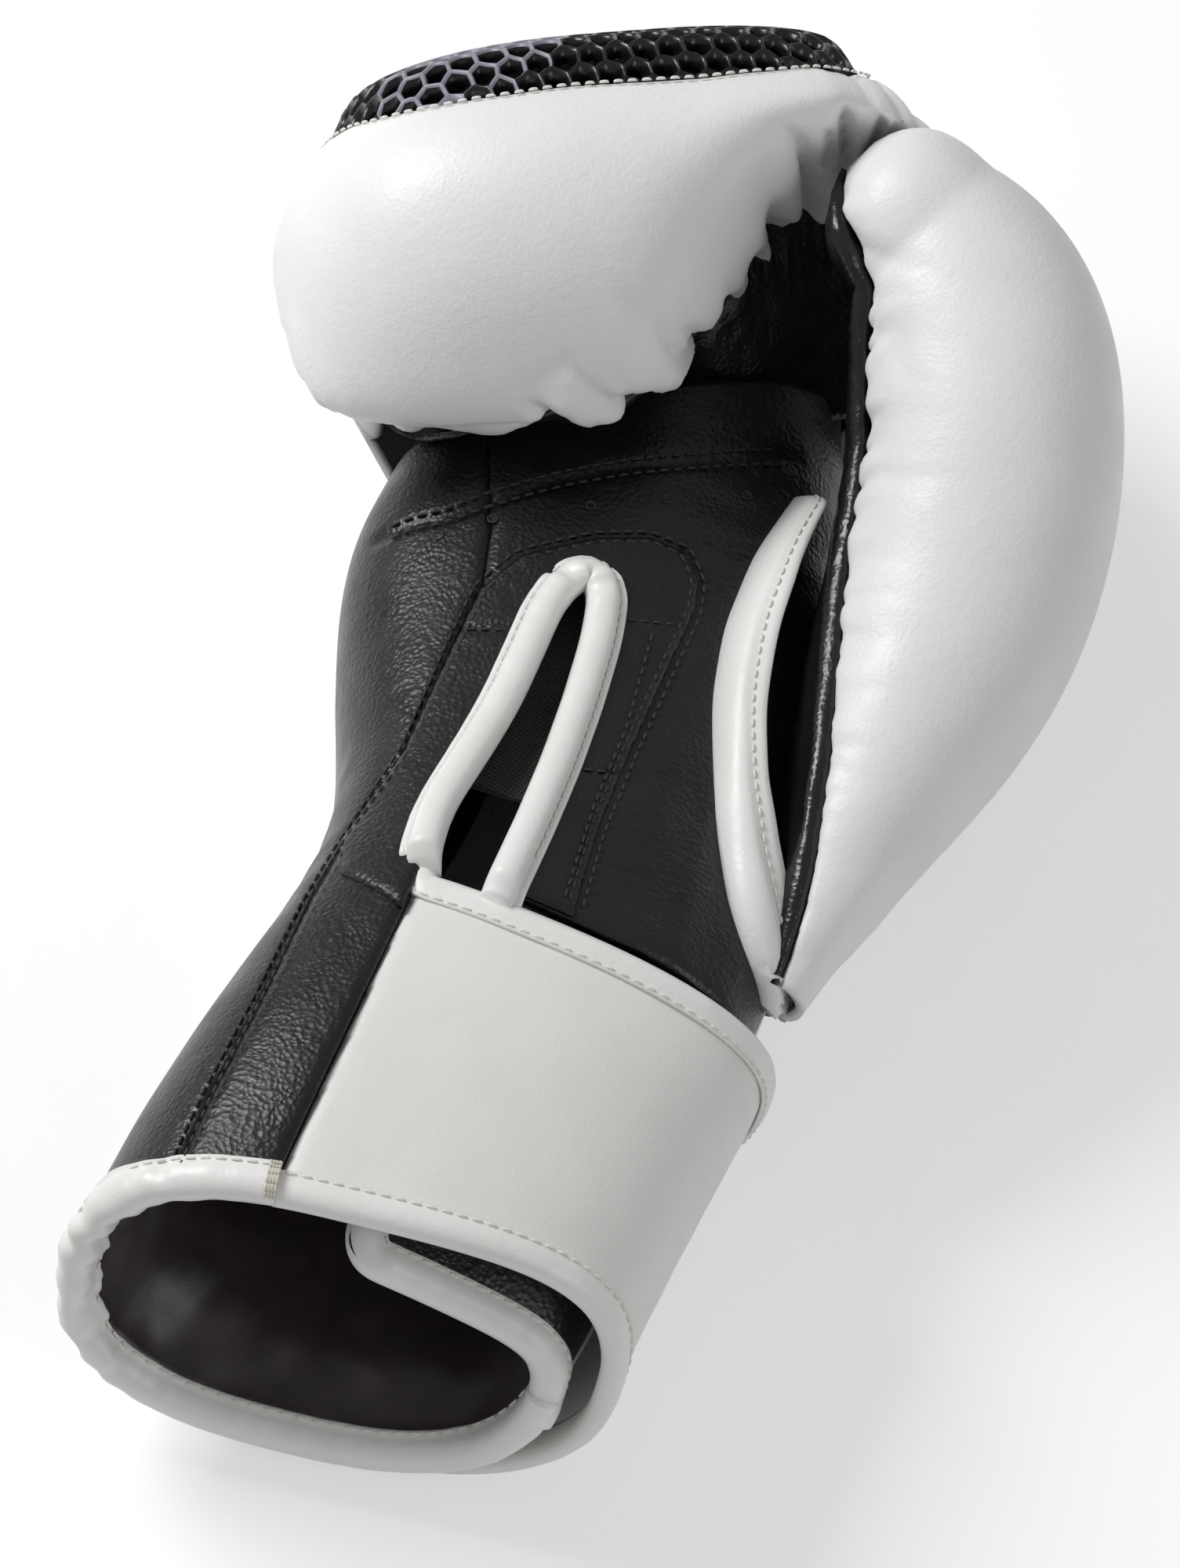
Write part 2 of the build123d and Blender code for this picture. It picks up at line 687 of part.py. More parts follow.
window = window_prism()
window_wide = window_prism(gap)
bed_for_lattice = fist_moved_in(lattice_thickness)
bed_for_backing_top = fist_moved_in(lattice_thickness + gap)
bed_for_backing = fist_moved_in(lattice_thickness + gap + lattice_backing_thickness)
bed_for_foam = fist_moved_in(lattice_thickness + 2 * gap + lattice_backing_thickness)
grip_zone = fist_box(-reach, reach, -reach, grip_front_v, roll_underside, grip_top_z)
grip_zone_wide = fist_box(-reach, reach, -reach, grip_front_v + gap, roll_underside - gap, grip_top_z + gap)
pocket_space = finger_pocket()
pocket_outside = finger_pocket(lining)
pocket_in_foam = finger_pocket(lining + gap)
bar_radius = curl_inner - lining - 2 * gap


def bar_cylinder(grow=0.0):
    bar_plane = Plane(
        origin=Vector(*fist_middle, curl_z) + to_front * curl_v + along_knuckles * (pocket_left - grow),
        x_dir=to_front, z_dir=along_knuckles,
    )
    with BuildPart() as bar:
        with BuildSketch(bar_plane):
            Circle(bar_radius + grow)
        extrude(amount=pocket_split - pocket_left + 2 * grow)
    return bar.part


with BuildPart() as fist_cover:
    loft(fist_faces())
    loft(fist_faces(leather), mode=Mode.SUBTRACT)
    add(behind_fist(), mode=Mode.SUBTRACT)
    add(grip_zone_wide, mode=Mode.SUBTRACT)
    add(window_wide, mode=Mode.SUBTRACT)
keep_piece(fist_cover, "fist_cover")

with BuildPart() as roll_hollow:
    loft(fist_faces(leather))
    add(behind_fist(leather), mode=Mode.SUBTRACT)

with BuildPart() as grip_panel:
    loft(fist_faces())
    add(roll_hollow.part, mode=Mode.SUBTRACT)
    add(grip_zone, mode=Mode.INTERSECT)
keep_piece(grip_panel, "grip_panel")

with BuildPart() as lattice_recess:
    add(window_wide)
    add(bed_for_foam, mode=Mode.SUBTRACT)

with BuildPart() as fist_foam:
    loft(fist_faces(leather + gap))
    add(behind_fist(leather + gap), mode=Mode.SUBTRACT)
    add(pocket_in_foam, mode=Mode.SUBTRACT)
    add(bar_cylinder(gap), mode=Mode.SUBTRACT)
    add(lattice_recess.part, mode=Mode.SUBTRACT)
keep_piece(fist_foam, "fist_foam")

with BuildPart() as finger_lining:
    add(pocket_outside)
    add(pocket_space, mode=Mode.SUBTRACT)
    split(bisect_by=fist_joint_plane, keep=Keep.TOP)
keep_piece(finger_lining, "finger_lining")

with BuildPart() as grip_bar:
    add(bar_cylinder())
keep_piece(grip_bar, "grip_bar")

with BuildPart() as lattice_backing:
    add(bed_for_backing_top)
    add(bed_for_backing, mode=Mode.SUBTRACT)
    add(window, mode=Mode.INTERSECT)
keep_piece(lattice_backing, "lattice_backing")

with BuildPart() as lattice_pad:
    loft(fist_faces(-lattice_proud))
    add(bed_for_lattice, mode=Mode.SUBTRACT)
    add(window, mode=Mode.INTERSECT)
    add(cell_prism(), mode=Mode.SUBTRACT)
keep_piece(lattice_pad, "lattice_pad")

# ---------------------------------------------------------------- thumb
with BuildPart() as web_room:
    loft(hand_faces(-gap - web_thickness - web_clearance))
    add(plan_prism(web_outline, web_corner, low=seam_middle, grow=web_clearance), mode=Mode.INTERSECT)

with BuildPart() as beside_thumb:
    loft(hand_faces(-thumb_hand_clearance))
    loft(fist_faces(-thumb_fist_clearance))
    add(web_room.part)


def thumb_solid(inset, stations=thumb_stations):
    with BuildPart() as solid:
        loft(thumb_faces(inset, stations))
    return solid.part


with BuildPart() as thumb_shell:
    add(thumb_solid(0))
    add(thumb_solid(leather), mode=Mode.SUBTRACT)
    add(beside_thumb.part, mode=Mode.SUBTRACT)

with BuildPart() as inner_zone:
    add(
        plan_prism(
            [(-side_reach, -side_reach), thumb_seam_plan[0], thumb_seam_plan[1], (-side_reach, side_reach)]
        )
    )
    split(bisect_by=thumb_seam_plane, keep=Keep.TOP)

with BuildPart() as thumb_inner_panel:
    add(thumb_shell.part)
    add(inner_zone.part, mode=Mode.INTERSECT)
keep_piece(thumb_inner_panel, "thumb_inner_panel")

with BuildPart() as thumb_cover:
    add(thumb_shell.part)
    add(inner_zone.part, mode=Mode.SUBTRACT)
keep_piece(thumb_cover, "thumb_cover")

sleeve_stations = thumb_stations[1:6]
with BuildPart() as thumb_foam:
    add(thumb_solid(leather + gap))
    add(thumb_solid(thumb_wall - lining - gap, sleeve_stations), mode=Mode.SUBTRACT)
    add(beside_thumb.part, mode=Mode.SUBTRACT)
    add(thumb_passage.part, mode=Mode.SUBTRACT)
keep_piece(thumb_foam, "thumb_foam")

with BuildPart() as thumb_lining:
    add(thumb_solid(thumb_wall - lining, sleeve_stations))
    add(thumb_solid(thumb_wall, sleeve_stations), mode=Mode.SUBTRACT)
    add(beside_thumb.part, mode=Mode.SUBTRACT)
    add(thumb_passage.part, mode=Mode.SUBTRACT)
keep_piece(thumb_lining, "thumb_lining")
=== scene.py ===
import math
import bmesh
import bpy
import numpy as np
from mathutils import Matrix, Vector, noise


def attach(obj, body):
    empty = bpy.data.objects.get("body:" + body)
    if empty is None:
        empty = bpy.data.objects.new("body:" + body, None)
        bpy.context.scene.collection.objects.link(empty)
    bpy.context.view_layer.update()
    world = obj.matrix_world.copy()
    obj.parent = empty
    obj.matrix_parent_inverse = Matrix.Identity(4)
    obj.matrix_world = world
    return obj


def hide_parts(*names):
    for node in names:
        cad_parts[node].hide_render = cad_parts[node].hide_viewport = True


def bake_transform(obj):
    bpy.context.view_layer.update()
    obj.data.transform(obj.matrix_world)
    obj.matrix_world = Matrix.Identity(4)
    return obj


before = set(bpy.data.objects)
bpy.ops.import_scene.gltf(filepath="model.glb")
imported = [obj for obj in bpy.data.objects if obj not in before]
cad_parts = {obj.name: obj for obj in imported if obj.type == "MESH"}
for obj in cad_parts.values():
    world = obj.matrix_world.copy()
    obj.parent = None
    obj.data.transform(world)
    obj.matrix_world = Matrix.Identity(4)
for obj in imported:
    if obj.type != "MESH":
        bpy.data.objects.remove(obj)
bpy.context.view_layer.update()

# A boxing glove's covers, bindings, lining and stitching. Shapes are worked out in millimetres
# and written to the meshes in metres, in the row's frame.
MM = 0.001

# ---------- driving sizes, as in the CAD
HAND_POWER = 2.5  # of the hand's rounded cross-section
# x, y, z, turn, lean, half width, top, bottom, side wall, back wall, palm wall, underlap drop
HAND_ROWS = np.array([
    (-29, -139, 46.0, -3, 17, 50, 36.5, 38.0, 8, 8, 9.0, 12.0),
    (-22, -105, 46.0, 4, 10, 50, 36.5, 38.0, 8, 9, 9.0, 9.5),
    (-13, -70, 45.5, 8, 4, 49, 34.5, 37.5, 8, 11, 9.0, 7.5),
    (-6, -35, 41.5, 8, 0, 49, 32.5, 37.5, 9, 13, 8.5, 6.9),
    (-9, 5, 36.0, 0, 0, 51, 30.0, 36.9, 10, 15, 7.5, 6.9),
    (-14, 42, 33.0, -8, 0, 53, 29.0, 33.7, 11, 16, 7.0, 6.9),
    (-18.8, 85.5, 32.0, -25, 0, 50.5, 27.0, 32.0, 12, 19, 7.0, 6.9),
])
STRAP_SINK = 1.6
STRAP_STANDOFF = 6.4
STRAP_FLARE = 4.0
STRAP_SEAM = ((-44.0, -137.0), (-33.0, -47.0))
STRAP_END = ((-27.0, -150.0), (-14.0, -48.0))
FOLD_Z = 46.0
UNDERLAP_EDGE = ((-30.0, -140.0), (-10.0, -48.0))
SLOT_PATH = [(-15.9, -51.0), (-14.8, -42), (-13.4, -30), (-11.8, -12), (-11.0, 5), (-10.9, 22), (-12.0, 34),
             (-16.2, 40), (-21.2, 36.5), (-24.4, 28), (-25.7, 15), (-27.2, 1), (-29.2, -10), (-31.4, -20),
             (-33.2, -28), (-33.9, -35), (-34.0, -40), (-33.4, -46.5)]

SLOPE = math.radians(25)
ALONG = np.array([math.cos(SLOPE), math.sin(SLOPE), 0.0])
FRONT = np.array([-math.sin(SLOPE), math.cos(SLOPE), 0.0])
FIST_MIDDLE = np.array([-30.0, 90.0, 0.0])
FIST_HALF, FIST_SHIFT, FIST_POWER = 75.5, 11.0, 3.0
FIST_JOINT_V = -8.0
ROLL_UNDERSIDE = 64.0
FIST_OUTLINE = np.array([
    (-20, 2), (8, 1), (34, 10), (52, 33), (59, 62), (56, 90), (41, 113),
    (18, 122), (-4, 114), (-19, 97), (-25, 80), (-18, 66), (-24, 36),
], float)
ROUND_V, ROUND_Z, WAIST_Z, ROLL_FRONT_V = 18.0, 54.0, 58.0, 26.0
# the fist's low left end, from TUCK_START on, draws in towards (TUCK_V, TUCK_Z) and shifts right
TUCK_START, TUCK_LENGTH = 27.0, 33.0
TUCK_V, TUCK_Z = 24.0, 56.0
TUCK_V_SHARE, TUCK_Z_SHARE = 0.8, 0.45
TUCK_SHIFT = 9.0
WINDOW = [(-49, 34), (-45, 22), (-33, 16), (0, 15), (40, 16), (54, 21), (61, 34), (64, 62), (64, 90),
          (61, 103), (53, 110.5), (41, 116), (24, 118), (-1, 117), (-18, 116), (-32, 112), (-43, 104),
          (-49, 88), (-50, 60)]
LATTICE_PROUD = 5.0

# the thumb's middle, x, y and z, and its half sizes across and up
THUMB_ROWS = np.array([
    (43, -40, 49, 7, 10), (50, 0, 55, 17, 21), (57, 40, 62, 27, 28), (57, 78, 75, 29, 31),
    (46, 107, 90, 27, 27), (30, 121, 98, 20, 20), (17, 126, 101, 9, 10), (11, 128, 102, 0.5, 0.5),
], float)


# ---------- small maths
class Spline:
    """Natural cubic spline through rows of numbers at the given knots."""

    def __init__(self, knots, rows):
        self.x, self.y = np.asarray(knots, float), np.asarray(rows, float)
        n = len(self.x)
        h = np.diff(self.x)
        a = np.zeros((n, n))
        b = np.zeros((n, self.y.shape[1]))
        a[0, 0] = a[-1, -1] = 1
        for i in range(1, n - 1):
            a[i, i - 1:i + 2] = h[i - 1], 2 * (h[i - 1] + h[i]), h[i]
            b[i] = 6 * ((self.y[i + 1] - self.y[i]) / h[i] - (self.y[i] - self.y[i - 1]) / h[i - 1])
        self.m = np.linalg.solve(a, b)

    def __call__(self, x):
        x = np.asarray(x, float)
        i = np.clip(np.searchsorted(self.x, x) - 1, 0, len(self.x) - 2)
        h = (self.x[i + 1] - self.x[i])[:, None]
        t = (x - self.x[i])[:, None]
        y0, y1, m0, m1 = self.y[i], self.y[i + 1], self.m[i], self.m[i + 1]
        slope = (y1 - y0) / h - h * (2 * m0 + m1) / 6
        return y0 + slope * t + m0 * t**2 / 2 + (m1 - m0) * t**3 / (6 * h)


def lengths(points):
    steps = np.linalg.norm(np.diff(points, axis=0), axis=1)
    return np.concatenate([[0], np.cumsum(steps)])


def ramp(x, low, high):
    t = np.clip((np.asarray(x, float) - low) / (high - low), 0, 1)
    return t * t * (3 - 2 * t)


def bell(x, width):
    return np.exp(-(np.asarray(x, float) / width) ** 2)


def unit_rows(v):
    return v / np.maximum(np.linalg.norm(v, axis=1, keepdims=True), 1e-9)


def lookup(x, table):
    """Values at x from a table of (x, value) rows, straight between them."""
    return np.interp(x, *np.array(table, float).T)


def fuzz(points, size, seed=0.0):
    """Smooth noise in -1..1 at points in mm, with features of about size mm."""
    shift = Vector((seed * 17.3, seed * -9.1, seed * 5.7))
    return np.array([noise.noise(Vector(p) / size + shift) for p in points])


def folds(points, size, seed, stretch=(1, 1, 1)):
    """Soft folds: 0 along their lines, up to 1 between them, longest where stretch is small."""
    return np.abs(fuzz(points * np.array(stretch), size, seed))


def pleats(points, size, seed, sharp=3):
    """Narrow creases: 1 along their lines, 0 away from them."""
    return 1 - np.clip(np.abs(fuzz(points, size, seed)) * sharp, 0, 1)


def line_side(xy, start, end):
    """Distance of plan points to the right of the line from start to end."""
    run = np.array(end, float) - np.array(start, float)
    run /= np.linalg.norm(run)
    return (xy[:, 0] - start[0]) * run[1] - (xy[:, 1] - start[1]) * run[0]


def inside(outline, xy):
    """Distance of plan points from a closed outline, positive inside it."""
    outline = np.asarray(outline, float)
    a, b = outline, np.roll(outline, -1, axis=0)
    edge = b - a
    best = np.full(len(xy), 1e9)
    within = np.zeros(len(xy), bool)
    for p, q, e in zip(a, b, edge):
        rel = xy - p
        t = np.clip(rel @ e / (e @ e), 0, 1)
        best = np.minimum(best, np.linalg.norm(rel - t[:, None] * e, axis=1))
        crosses = (p[1] > xy[:, 1]) != (q[1] > xy[:, 1])
        at = p[0] + (xy[:, 1] - p[1]) * e[0] / (e[1] if abs(e[1]) > 1e-12 else 1e-12)
        within ^= crosses & (xy[:, 0] < at)
    return np.where(within, best, -best)


def resample(points, step):
    points = np.asarray(points, float)
    s = lengths(points)
    at = np.linspace(0, s[-1], max(2, round(s[-1] / step) + 1))
    return np.stack([np.interp(at, s, points[:, k]) for k in range(points.shape[1])], axis=1)


def smoothed(points, rounds=2, closed=False):
    p = np.array(points, float)
    for _ in range(rounds):
        q = p.copy()
        if closed:
            q = 0.25 * np.roll(p, 1, 0) + 0.5 * p + 0.25 * np.roll(p, -1, 0)
        else:
            q[1:-1] = 0.25 * p[:-2] + 0.5 * p[1:-1] + 0.25 * p[2:]
        p = q
    return p


# ---------- surfaces: (a, b) to a point
HAND_KNOTS = lengths(HAND_ROWS[:, :3])
HAND_LENGTH = HAND_KNOTS[-1]
HAND = Spline(HAND_KNOTS, HAND_ROWS)


def ring(angle, right, left, top, bottom):
    """A rounded cross-section's points, across and up, at angles from its right over its top."""
    c, s = np.cos(angle), np.sin(angle)
    square = 2.0 / HAND_POWER
    across = np.sign(c) * np.abs(c) ** square * np.where(c > 0, right, left)
    up = np.sign(s) * np.abs(s) ** square * np.where(s > 0, top, bottom)
    return across, up


RING_ANGLES = np.linspace(0, 2 * math.pi, 721)
RING_LENGTHS = lengths(np.stack(ring(RING_ANGLES, 50, 50, 33, 36), axis=1))
RING = RING_LENGTHS[-1]  # mm round the hand, from the thumb side over the palm


def ring_angle(a):
    return np.interp(np.mod(a, RING), RING_LENGTHS, RING_ANGLES)


def directions(row):
    """Which ways across, along and up point at the hand's rows."""
    turn, lean = np.radians(row[:, 3]), np.radians(row[:, 4])
    across = np.stack([np.cos(turn), -np.sin(turn), 0 * turn], axis=1)
    along = np.stack([np.sin(turn) * np.cos(lean), np.cos(turn) * np.cos(lean), -np.sin(lean)], axis=1)
    up = np.stack([np.sin(lean) * np.sin(turn), np.sin(lean) * np.cos(turn), np.cos(lean)], axis=1)
    return across, along, up


def place(row, across, up):
    right, _, high = directions(row)
    return row[:, :3] + right * across[:, None] + high * up[:, None]


def hand(dom, out=0.0):
    """The hand's outer surface: (mm round it, mm along it from the mouth)."""
    row = HAND(np.clip(dom[:, 1], -2, HAND_LENGTH + 4))
    w = row[:, 5] + out
    across, up = ring(ring_angle(dom[:, 0]), w, w, row[:, 6] + out, row[:, 7] + out)
    return place(row, across, up)


def cavity(dom, out=0.0):
    """The wall of the space for the hand."""
    row = HAND(np.clip(dom[:, 1], -2, HAND_LENGTH + 4))
    w = row[:, 5] - row[:, 8] + out
    across, up = ring(
        ring_angle(dom[:, 0]), w, w, row[:, 6] - row[:, 10] + out, row[:, 7] - row[:, 9] + out)
    return place(row, across, up)


def strap(dom, out=0.0):
    """The strap's outer surface, off the hand on the thumb side and round the back."""
    row = HAND(np.clip(dom[:, 1], -2, HAND_LENGTH))
    flare = STRAP_FLARE * np.clip(1 - dom[:, 1] / HAND_KNOTS[3], 0, 1)
    across, up = ring(
        ring_angle(dom[:, 0]), row[:, 5] + STRAP_STANDOFF + flare + out, row[:, 5],
        row[:, 6] - STRAP_SINK + out, row[:, 7] + STRAP_STANDOFF + out)
    return place(row, across, up)


def underlap(dom, out=0.0):
    """The underlap's outer surface, let into the hand."""
    row = HAND(np.clip(dom[:, 1], -2, HAND_LENGTH))
    w = row[:, 5] + out
    across, up = ring(ring_angle(dom[:, 0]), w, w, row[:, 6] - row[:, 11] + out, row[:, 7])
    return place(row, across, up)


def periodic_matrix(points, count):
    """Rows that turn an outline's points into count + 1 points of a smooth closed curve."""
    n = len(points)
    step = np.linalg.norm(np.roll(points, -1, axis=0) - points, axis=1)
    knots = np.concatenate([[0], np.cumsum(step)])
    a = np.zeros((n, n))
    b = np.zeros((n, n))
    for i in range(n):
        h0, h1 = step[i - 1], step[i]
        a[i, i - 1] += h0
        a[i, i] += 2 * (h0 + h1)
        a[i, (i + 1) % n] += h1
        b[i, (i + 1) % n] += 6 / h1
        b[i, i] -= 6 / h1 + 6 / h0
        b[i, i - 1] += 6 / h0
    bend = np.linalg.solve(a, b)
    at = np.linspace(0, knots[-1], count + 1)
    rows = np.zeros((count + 1, n))
    for k, x in enumerate(at):
        i = min(np.searchsorted(knots, x, side="right") - 1, n - 1)
        h, t, j = step[i], x - knots[i], (i + 1) % n
        one = np.eye(n)
        slope = (one[j] - one[i]) / h - h * (2 * bend[i] + bend[j]) / 6
        rows[k] = one[i] + slope * t + bend[i] * t**2 / 2 + (bend[j] - bend[i]) * t**3 / (6 * h)
    return rows


FIST_COUNT = 360
FIST_MATRIX = periodic_matrix(FIST_OUTLINE, FIST_COUNT)
OUTLINE_LENGTHS = lengths(FIST_MATRIX @ FIST_OUTLINE)
FIST_ROUND = OUTLINE_LENGTHS[-1]  # mm round the middle of the fist, from behind its underside
END_TURNS = np.linspace(-math.pi / 2, math.pi / 2, 401)
END_SHARES = np.sign(END_TURNS) * np.abs(np.sin(END_TURNS)) ** (2 / FIST_POWER)
END_ROUNDNESS = np.abs(np.cos(END_TURNS)) ** (2 / FIST_POWER)
MERIDIAN = lengths(np.stack([END_SHARES * FIST_HALF, END_ROUNDNESS * 50], axis=1))
FIST_REACH = MERIDIAN[-1] / 2  # mm from the middle of the fist to either end, over its surface


def along_fist(u, limit=1.0):
    """mm over the fist's surface from its middle, at u along the knuckles."""
    share = np.clip((u - FIST_SHIFT) / FIST_HALF, -limit, limit)
    return np.interp(share, END_SHARES, MERIDIAN) - FIST_REACH


def tucked(u):
    """How far the fist's low left end is drawn in at u, 0 to 1."""
    return np.clip((-u - TUCK_START) / TUCK_LENGTH, 0, 1)


def fist_sections(m):
    """The outline's points, as v and z, at m mm from the fist's middle, and u there."""
    u = FIST_SHIFT + np.interp(m + FIST_REACH, MERIDIAN, END_SHARES) * FIST_HALF
    roundness = np.interp(m + FIST_REACH, MERIDIAN, END_ROUNDNESS)
    pull = 1 - 0.97 * ramp(u, -5, 58)
    height = 1 - 0.10 * ramp(u, 45, 85)
    tuck = tucked(u)[:, None]
    v = np.repeat(FIST_OUTLINE[None, :, 0], len(m), axis=0)
    z = np.repeat(FIST_OUTLINE[None, :, 1], len(m), axis=0)
    high = z > WAIST_Z
    z = np.where(high, WAIST_Z + (z - WAIST_Z) * height[:, None], z)
    v = np.where(high & (v < ROLL_FRONT_V), ROLL_FRONT_V + (v - ROLL_FRONT_V) * pull[:, None], v)
    v = np.where(~high & (v < TUCK_V), TUCK_V + (v - TUCK_V) * (1 - TUCK_V_SHARE * tuck), v)
    z = np.where(~high, TUCK_Z + (z - TUCK_Z) * (1 - TUCK_Z_SHARE * tuck), z)
    v = ROUND_V + (v - ROUND_V) * roundness[:, None]
    z = ROUND_Z + (z - ROUND_Z) * roundness[:, None]
    return v, z, u


def fist(dom):
    """The fist's outer surface: (mm round it, mm along it from its middle)."""
    v, z, u = fist_sections(dom[:, 1])
    at = np.interp(np.mod(dom[:, 0], FIST_ROUND), OUTLINE_LENGTHS, np.arange(FIST_COUNT + 1))
    i = np.minimum(at.astype(int), FIST_COUNT - 1)
    t = (at - i)[:, None]
    weights = FIST_MATRIX[i] * (1 - t) + FIST_MATRIX[i + 1] * t
    pv, pz = (weights * v).sum(1), (weights * z).sum(1)
    u = u + TUCK_SHIFT * tucked(u) * ramp(-pz, -64, -44)
    return from_fist_frame(u, pv, pz)


def from_fist_frame(u, v, z):
    """Points at u along the knuckles, v to the front, and height z."""
    p = FIST_MIDDLE + u[:, None] * ALONG + v[:, None] * FRONT
    p[:, 2] = z
    return p


def fist_frame(p):
    """u along the knuckles, v to the front, and z."""
    rel = p - FIST_MIDDLE
    return rel @ ALONG, rel @ FRONT, p[:, 2]


THUMB_KNOTS = lengths(THUMB_ROWS[:, :3])
THUMB_LENGTH = THUMB_KNOTS[-1]
THUMB = Spline(THUMB_KNOTS, THUMB_ROWS)
THUMB_ROUND = 160.0  # mm round the thumb where it is thick
THUMB_TIP = THUMB_KNOTS[5]  # mm along the thumb to where its end rounds off


def thumb(dom):
    """The thumb's outer surface: (mm round it, mm along it from its root)."""
    s = np.clip(dom[:, 1], 0, THUMB_LENGTH)
    row = THUMB(s)
    ahead = THUMB(np.clip(s + 0.5, 0, THUMB_LENGTH))[:, :3]
    behind = THUMB(np.clip(s - 0.5, 0, THUMB_LENGTH))[:, :3]
    along = unit_rows(ahead - behind)
    across = unit_rows(np.cross(along, np.array([0, 0, 1.0])))
    up = np.cross(across, along)
    beyond = np.clip((s - THUMB_TIP) / (THUMB_LENGTH - THUMB_TIP), 0, 1)
    cap = np.sqrt(1 - beyond**2.6)
    tail = THUMB(np.full(len(s), THUMB_TIP))
    wide = np.where(s > THUMB_TIP, tail[:, 3] * cap, row[:, 3])
    high = np.where(s > THUMB_TIP, tail[:, 4] * cap, row[:, 4])
    angle = dom[:, 0] / THUMB_ROUND * 2 * math.pi
    return (row[:, :3] + across * (np.cos(angle) * np.maximum(wide, 0.3))[:, None]
            + up * (np.sin(angle) * np.maximum(high, 0.3))[:, None])


def normals(surface, dom, flip=1):
    """A surface's unit normals, by small steps to each side."""
    step = 0.4
    du, dv = np.array([step, 0]), np.array([0, step])
    a = surface(dom + du) - surface(dom - du)
    b = surface(dom + dv) - surface(dom - dv)
    return flip * unit_rows(np.cross(b, a))


def hand_outside(p):
    """How far points stand out of the hand's outer surface, in mm, about."""
    t = np.interp(p[:, 1], HAND_ROWS[:, 1], HAND_KNOTS)
    for _ in range(6):
        row = HAND(t)
        along = directions(row)[1]
        t = np.clip(t + ((p - row[:, :3]) * along).sum(1), 0, HAND_LENGTH)
    row = HAND(t)
    right, _, high = directions(row)
    rel = p - row[:, :3]
    x, y = (rel * right).sum(1), (rel * high).sum(1)
    half = np.where(y > 0, row[:, 6], row[:, 7])
    size = (np.abs(x) / row[:, 5]) ** HAND_POWER + (np.abs(y) / half) ** HAND_POWER
    size = size ** (1 / HAND_POWER)
    return (size - 1) * np.hypot(x, y) / np.maximum(size, 1e-6)


def find(surface, xy, guess):
    """The (a, b) of a surface's points that lie over plan points, from a first guess."""
    dom = np.array(guess, float) * np.ones((len(xy), 2))
    step, far = 0.5, 12
    for _ in range(25):
        p = surface(dom)[:, :2]
        a = (surface(dom + np.array([step, 0]))[:, :2] - p) / step
        b = (surface(dom + np.array([0, step]))[:, :2] - p) / step
        miss = xy - p
        det = a[:, 0] * b[:, 1] - a[:, 1] * b[:, 0]
        det = np.where(np.abs(det) < 0.05, 0.05, det)
        da = (miss[:, 0] * b[:, 1] - miss[:, 1] * b[:, 0]) / det
        db = (a[:, 0] * miss[:, 1] - a[:, 1] * miss[:, 0]) / det
        dom[:, 0] += np.clip(da, -far, far)
        dom[:, 1] += np.clip(db, -far, far)
    return dom


# ---------- patches of a surface
def grid(low_a, high_a, low_b, high_b, step):
    """A triangulated grid over part of a surface's (a, b) space."""
    na = max(2, round((high_a - low_a) / step))
    nb = max(2, round((high_b - low_b) / step))
    a, b = np.meshgrid(np.linspace(low_a, high_a, na + 1), np.linspace(low_b, high_b, nb + 1), indexing="ij")
    dom = np.stack([a.ravel(), b.ravel()], axis=1)
    i, j = np.meshgrid(np.arange(na), np.arange(nb), indexing="ij")
    i, j = i.ravel(), j.ravel()
    c00, c10 = i * (nb + 1) + j, (i + 1) * (nb + 1) + j
    c01, c11 = c00 + 1, c10 + 1
    odd = ((i + j) % 2 == 1)[:, None]
    first = np.where(odd, np.stack([c00, c10, c11], 1), np.stack([c00, c10, c01], 1))
    second = np.where(odd, np.stack([c00, c11, c01], 1), np.stack([c10, c11, c01], 1))
    return dom, np.concatenate([first, second])


def clip(dom, tris, keep):
    """Cuts the triangles where keep, a value at each vertex, falls below zero."""
    keep = np.where(np.abs(keep) < 1e-6, 1e-6, keep)
    count = (keep > 0)[tris].sum(1)
    result = [tuple(t) for t in tris[count == 3]]
    extra, cuts = [], {}

    def crossing(i, j):
        key = (i, j) if i < j else (j, i)
        if key not in cuts:
            k, m = key
            cuts[key] = len(dom) + len(extra)
            extra.append(dom[k] + (dom[m] - dom[k]) * keep[k] / (keep[k] - keep[m]))
        return cuts[key]

    for tri in tris[(count == 1) | (count == 2)]:
        loop = []
        for i, j in ((tri[0], tri[1]), (tri[1], tri[2]), (tri[2], tri[0])):
            if keep[i] > 0:
                loop.append(i)
            if (keep[i] > 0) != (keep[j] > 0):
                loop.append(crossing(i, j))
        for k in range(1, len(loop) - 1):
            result.append((loop[0], loop[k], loop[k + 1]))
    tris = np.array(result, int).reshape(-1, 3)
    dom = np.concatenate([dom, np.array(extra).reshape(-1, 2)])
    used, tris = np.unique(tris, return_inverse=True)
    return dom[used], tris.reshape(-1, 3)


